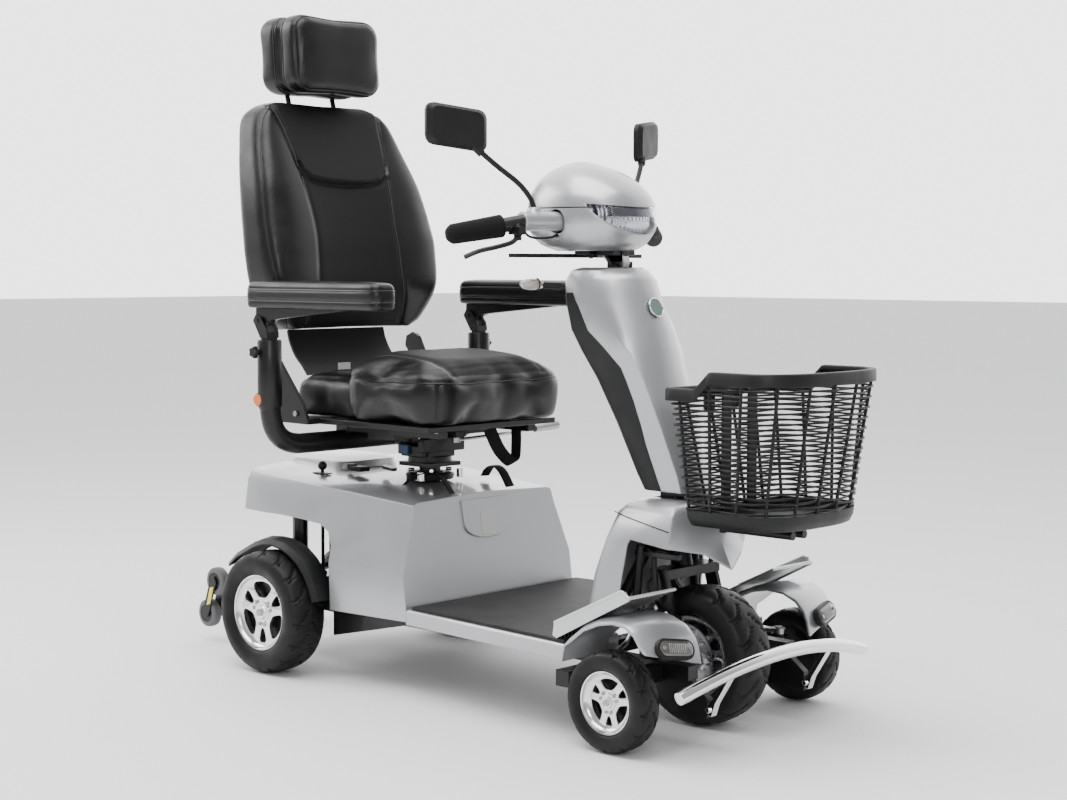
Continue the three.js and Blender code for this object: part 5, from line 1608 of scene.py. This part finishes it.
def swivel_details():
    """Blocks, bolts and the release handle about the top of the seat post."""
    blocks = Shape().box((176, 246), (-58, -40), (487, 512))
    blocks.box((240, 258), (-66, 66), (498, 530))
    blocks.rod((222, -74, 526), (222, -112, 530), 9, 24)
    piece("swivel_blocks", blocks, POWDER, "swivel", bevel=2)
    blue = Shape().box((174, 206), (-66, -48), (492, 514))
    piece("swivel_blue_block", blue, BLUE, "swivel", bevel=1.5)
    bolts = Shape()
    for x, y in ((236, -56), (186, -56), (236, 56), (186, 56)):
        bolts.rod((x, y, 546), (x, y, 552), 7, 6)
        bolts.rod((x, y, 534), (x, y, 528), 5, 16)
    piece("swivel_bolts", bolts, CHROME, "swivel", bevel=0.6)
    post = Shape()
    for angle in (-0.7, 0.9, 2.5, 4.1):
        c, s = math.cos(angle), math.sin(angle)
        post.rod((211 + 36 * c, 36 * s, 455), (211 + 50 * c, 50 * s, 455), 5, 6)
    piece("post_bolts", post, CHROME, "chassis", bevel=0.6)


def make_seat():
    seat_cushion()
    backrest()
    headrest()
    for name, side in SIDES:
        armrest(name, side)
    seat_frame()
    seat_trim()
    swivel_details()


# ---- Stage ----------------------------------------------------------------------------------------------


def make_stage():
    """White floor and soft studio light."""
    floor = bpy.data.meshes.new("floor")
    reach = 40
    corners = [(-reach, -reach, 0), (reach, -reach, 0), (reach, reach, 0), (-reach, reach, 0)]
    floor.from_pydata(corners, [], [(0, 1, 2, 3)])
    ground = bpy.data.objects.new("floor", floor)
    bpy.context.scene.collection.objects.link(ground)
    floor.materials.append(surface("floor", (0.86, 0.86, 0.865), 0.75))
    world = bpy.context.scene.world or bpy.data.worlds.new("studio")
    bpy.context.scene.world = world
    world.use_nodes = True
    tree = world.node_tree
    sky = tree.nodes["Background"]
    sky.inputs["Color"].default_value = (1.0, 1.0, 1.0, 1)
    direction = tree.nodes.new("ShaderNodeTexCoord")
    facing = tree.nodes.new("ShaderNodeVectorMath")
    facing.operation = "DOT_PRODUCT"
    facing.inputs[1].default_value = (-0.68, 0.73, 0)
    brightness = tree.nodes.new("ShaderNodeMapRange")
    brightness.inputs["From Min"].default_value = -0.1
    brightness.inputs["From Max"].default_value = 0.85
    brightness.inputs["To Min"].default_value = 0.5
    brightness.inputs["To Max"].default_value = 3.2
    tree.links.new(direction.outputs["Generated"], facing.inputs[0])
    tree.links.new(facing.outputs["Value"], brightness.inputs["Value"])
    tree.links.new(brightness.outputs["Result"], sky.inputs["Strength"])
    add_area((0.2, -1.0, 4.6), (0, 0, 0.4), 3.6, 260)
    add_area((3.4, -3.2, 2.6), (0.1, 0, 0.6), 1.8, 60)
    add_area((-3.0, -1.6, 2.8), (0, 0, 0.6), 1.8, 60)


def add_area(place, target, size, watts):
    light = bpy.data.lights.new("soft_box", "AREA")
    light.shape = "SQUARE"
    light.size = size
    light.energy = watts
    lamp = bpy.data.objects.new("soft_box", light)
    lamp.location = place
    lamp.rotation_mode = "QUATERNION"
    lamp.rotation_quaternion = (Vector(target) - Vector(place)).to_track_quat("-Z", "Y")
    bpy.context.scene.collection.objects.link(lamp)


def make_camera():
    yaw, pitch, roll = math.radians(132.99), math.radians(-4.178), math.radians(0.126)
    ahead = Vector((math.cos(pitch) * math.cos(yaw), math.cos(pitch) * math.sin(yaw), math.sin(pitch)))
    camera = bpy.data.cameras.new("camera")
    camera.lens = 62.62
    camera.sensor_width = 36
    camera.sensor_fit = "HORIZONTAL"
    holder = bpy.data.objects.new("camera", camera)
    holder.location = (2.8175, -2.942, 0.9238)
    turn = ahead.to_track_quat("-Z", "Y").to_matrix() @ Matrix.Rotation(roll, 3, "Z")
    holder.matrix_world = Matrix.Translation(holder.location) @ turn.to_4x4()
    bpy.context.scene.collection.objects.link(holder)
    bpy.context.scene.camera = holder


make_camera()
make_stage()
finish_cad_nodes()
make_wheels()
make_chassis()
make_tiller()
make_seat()
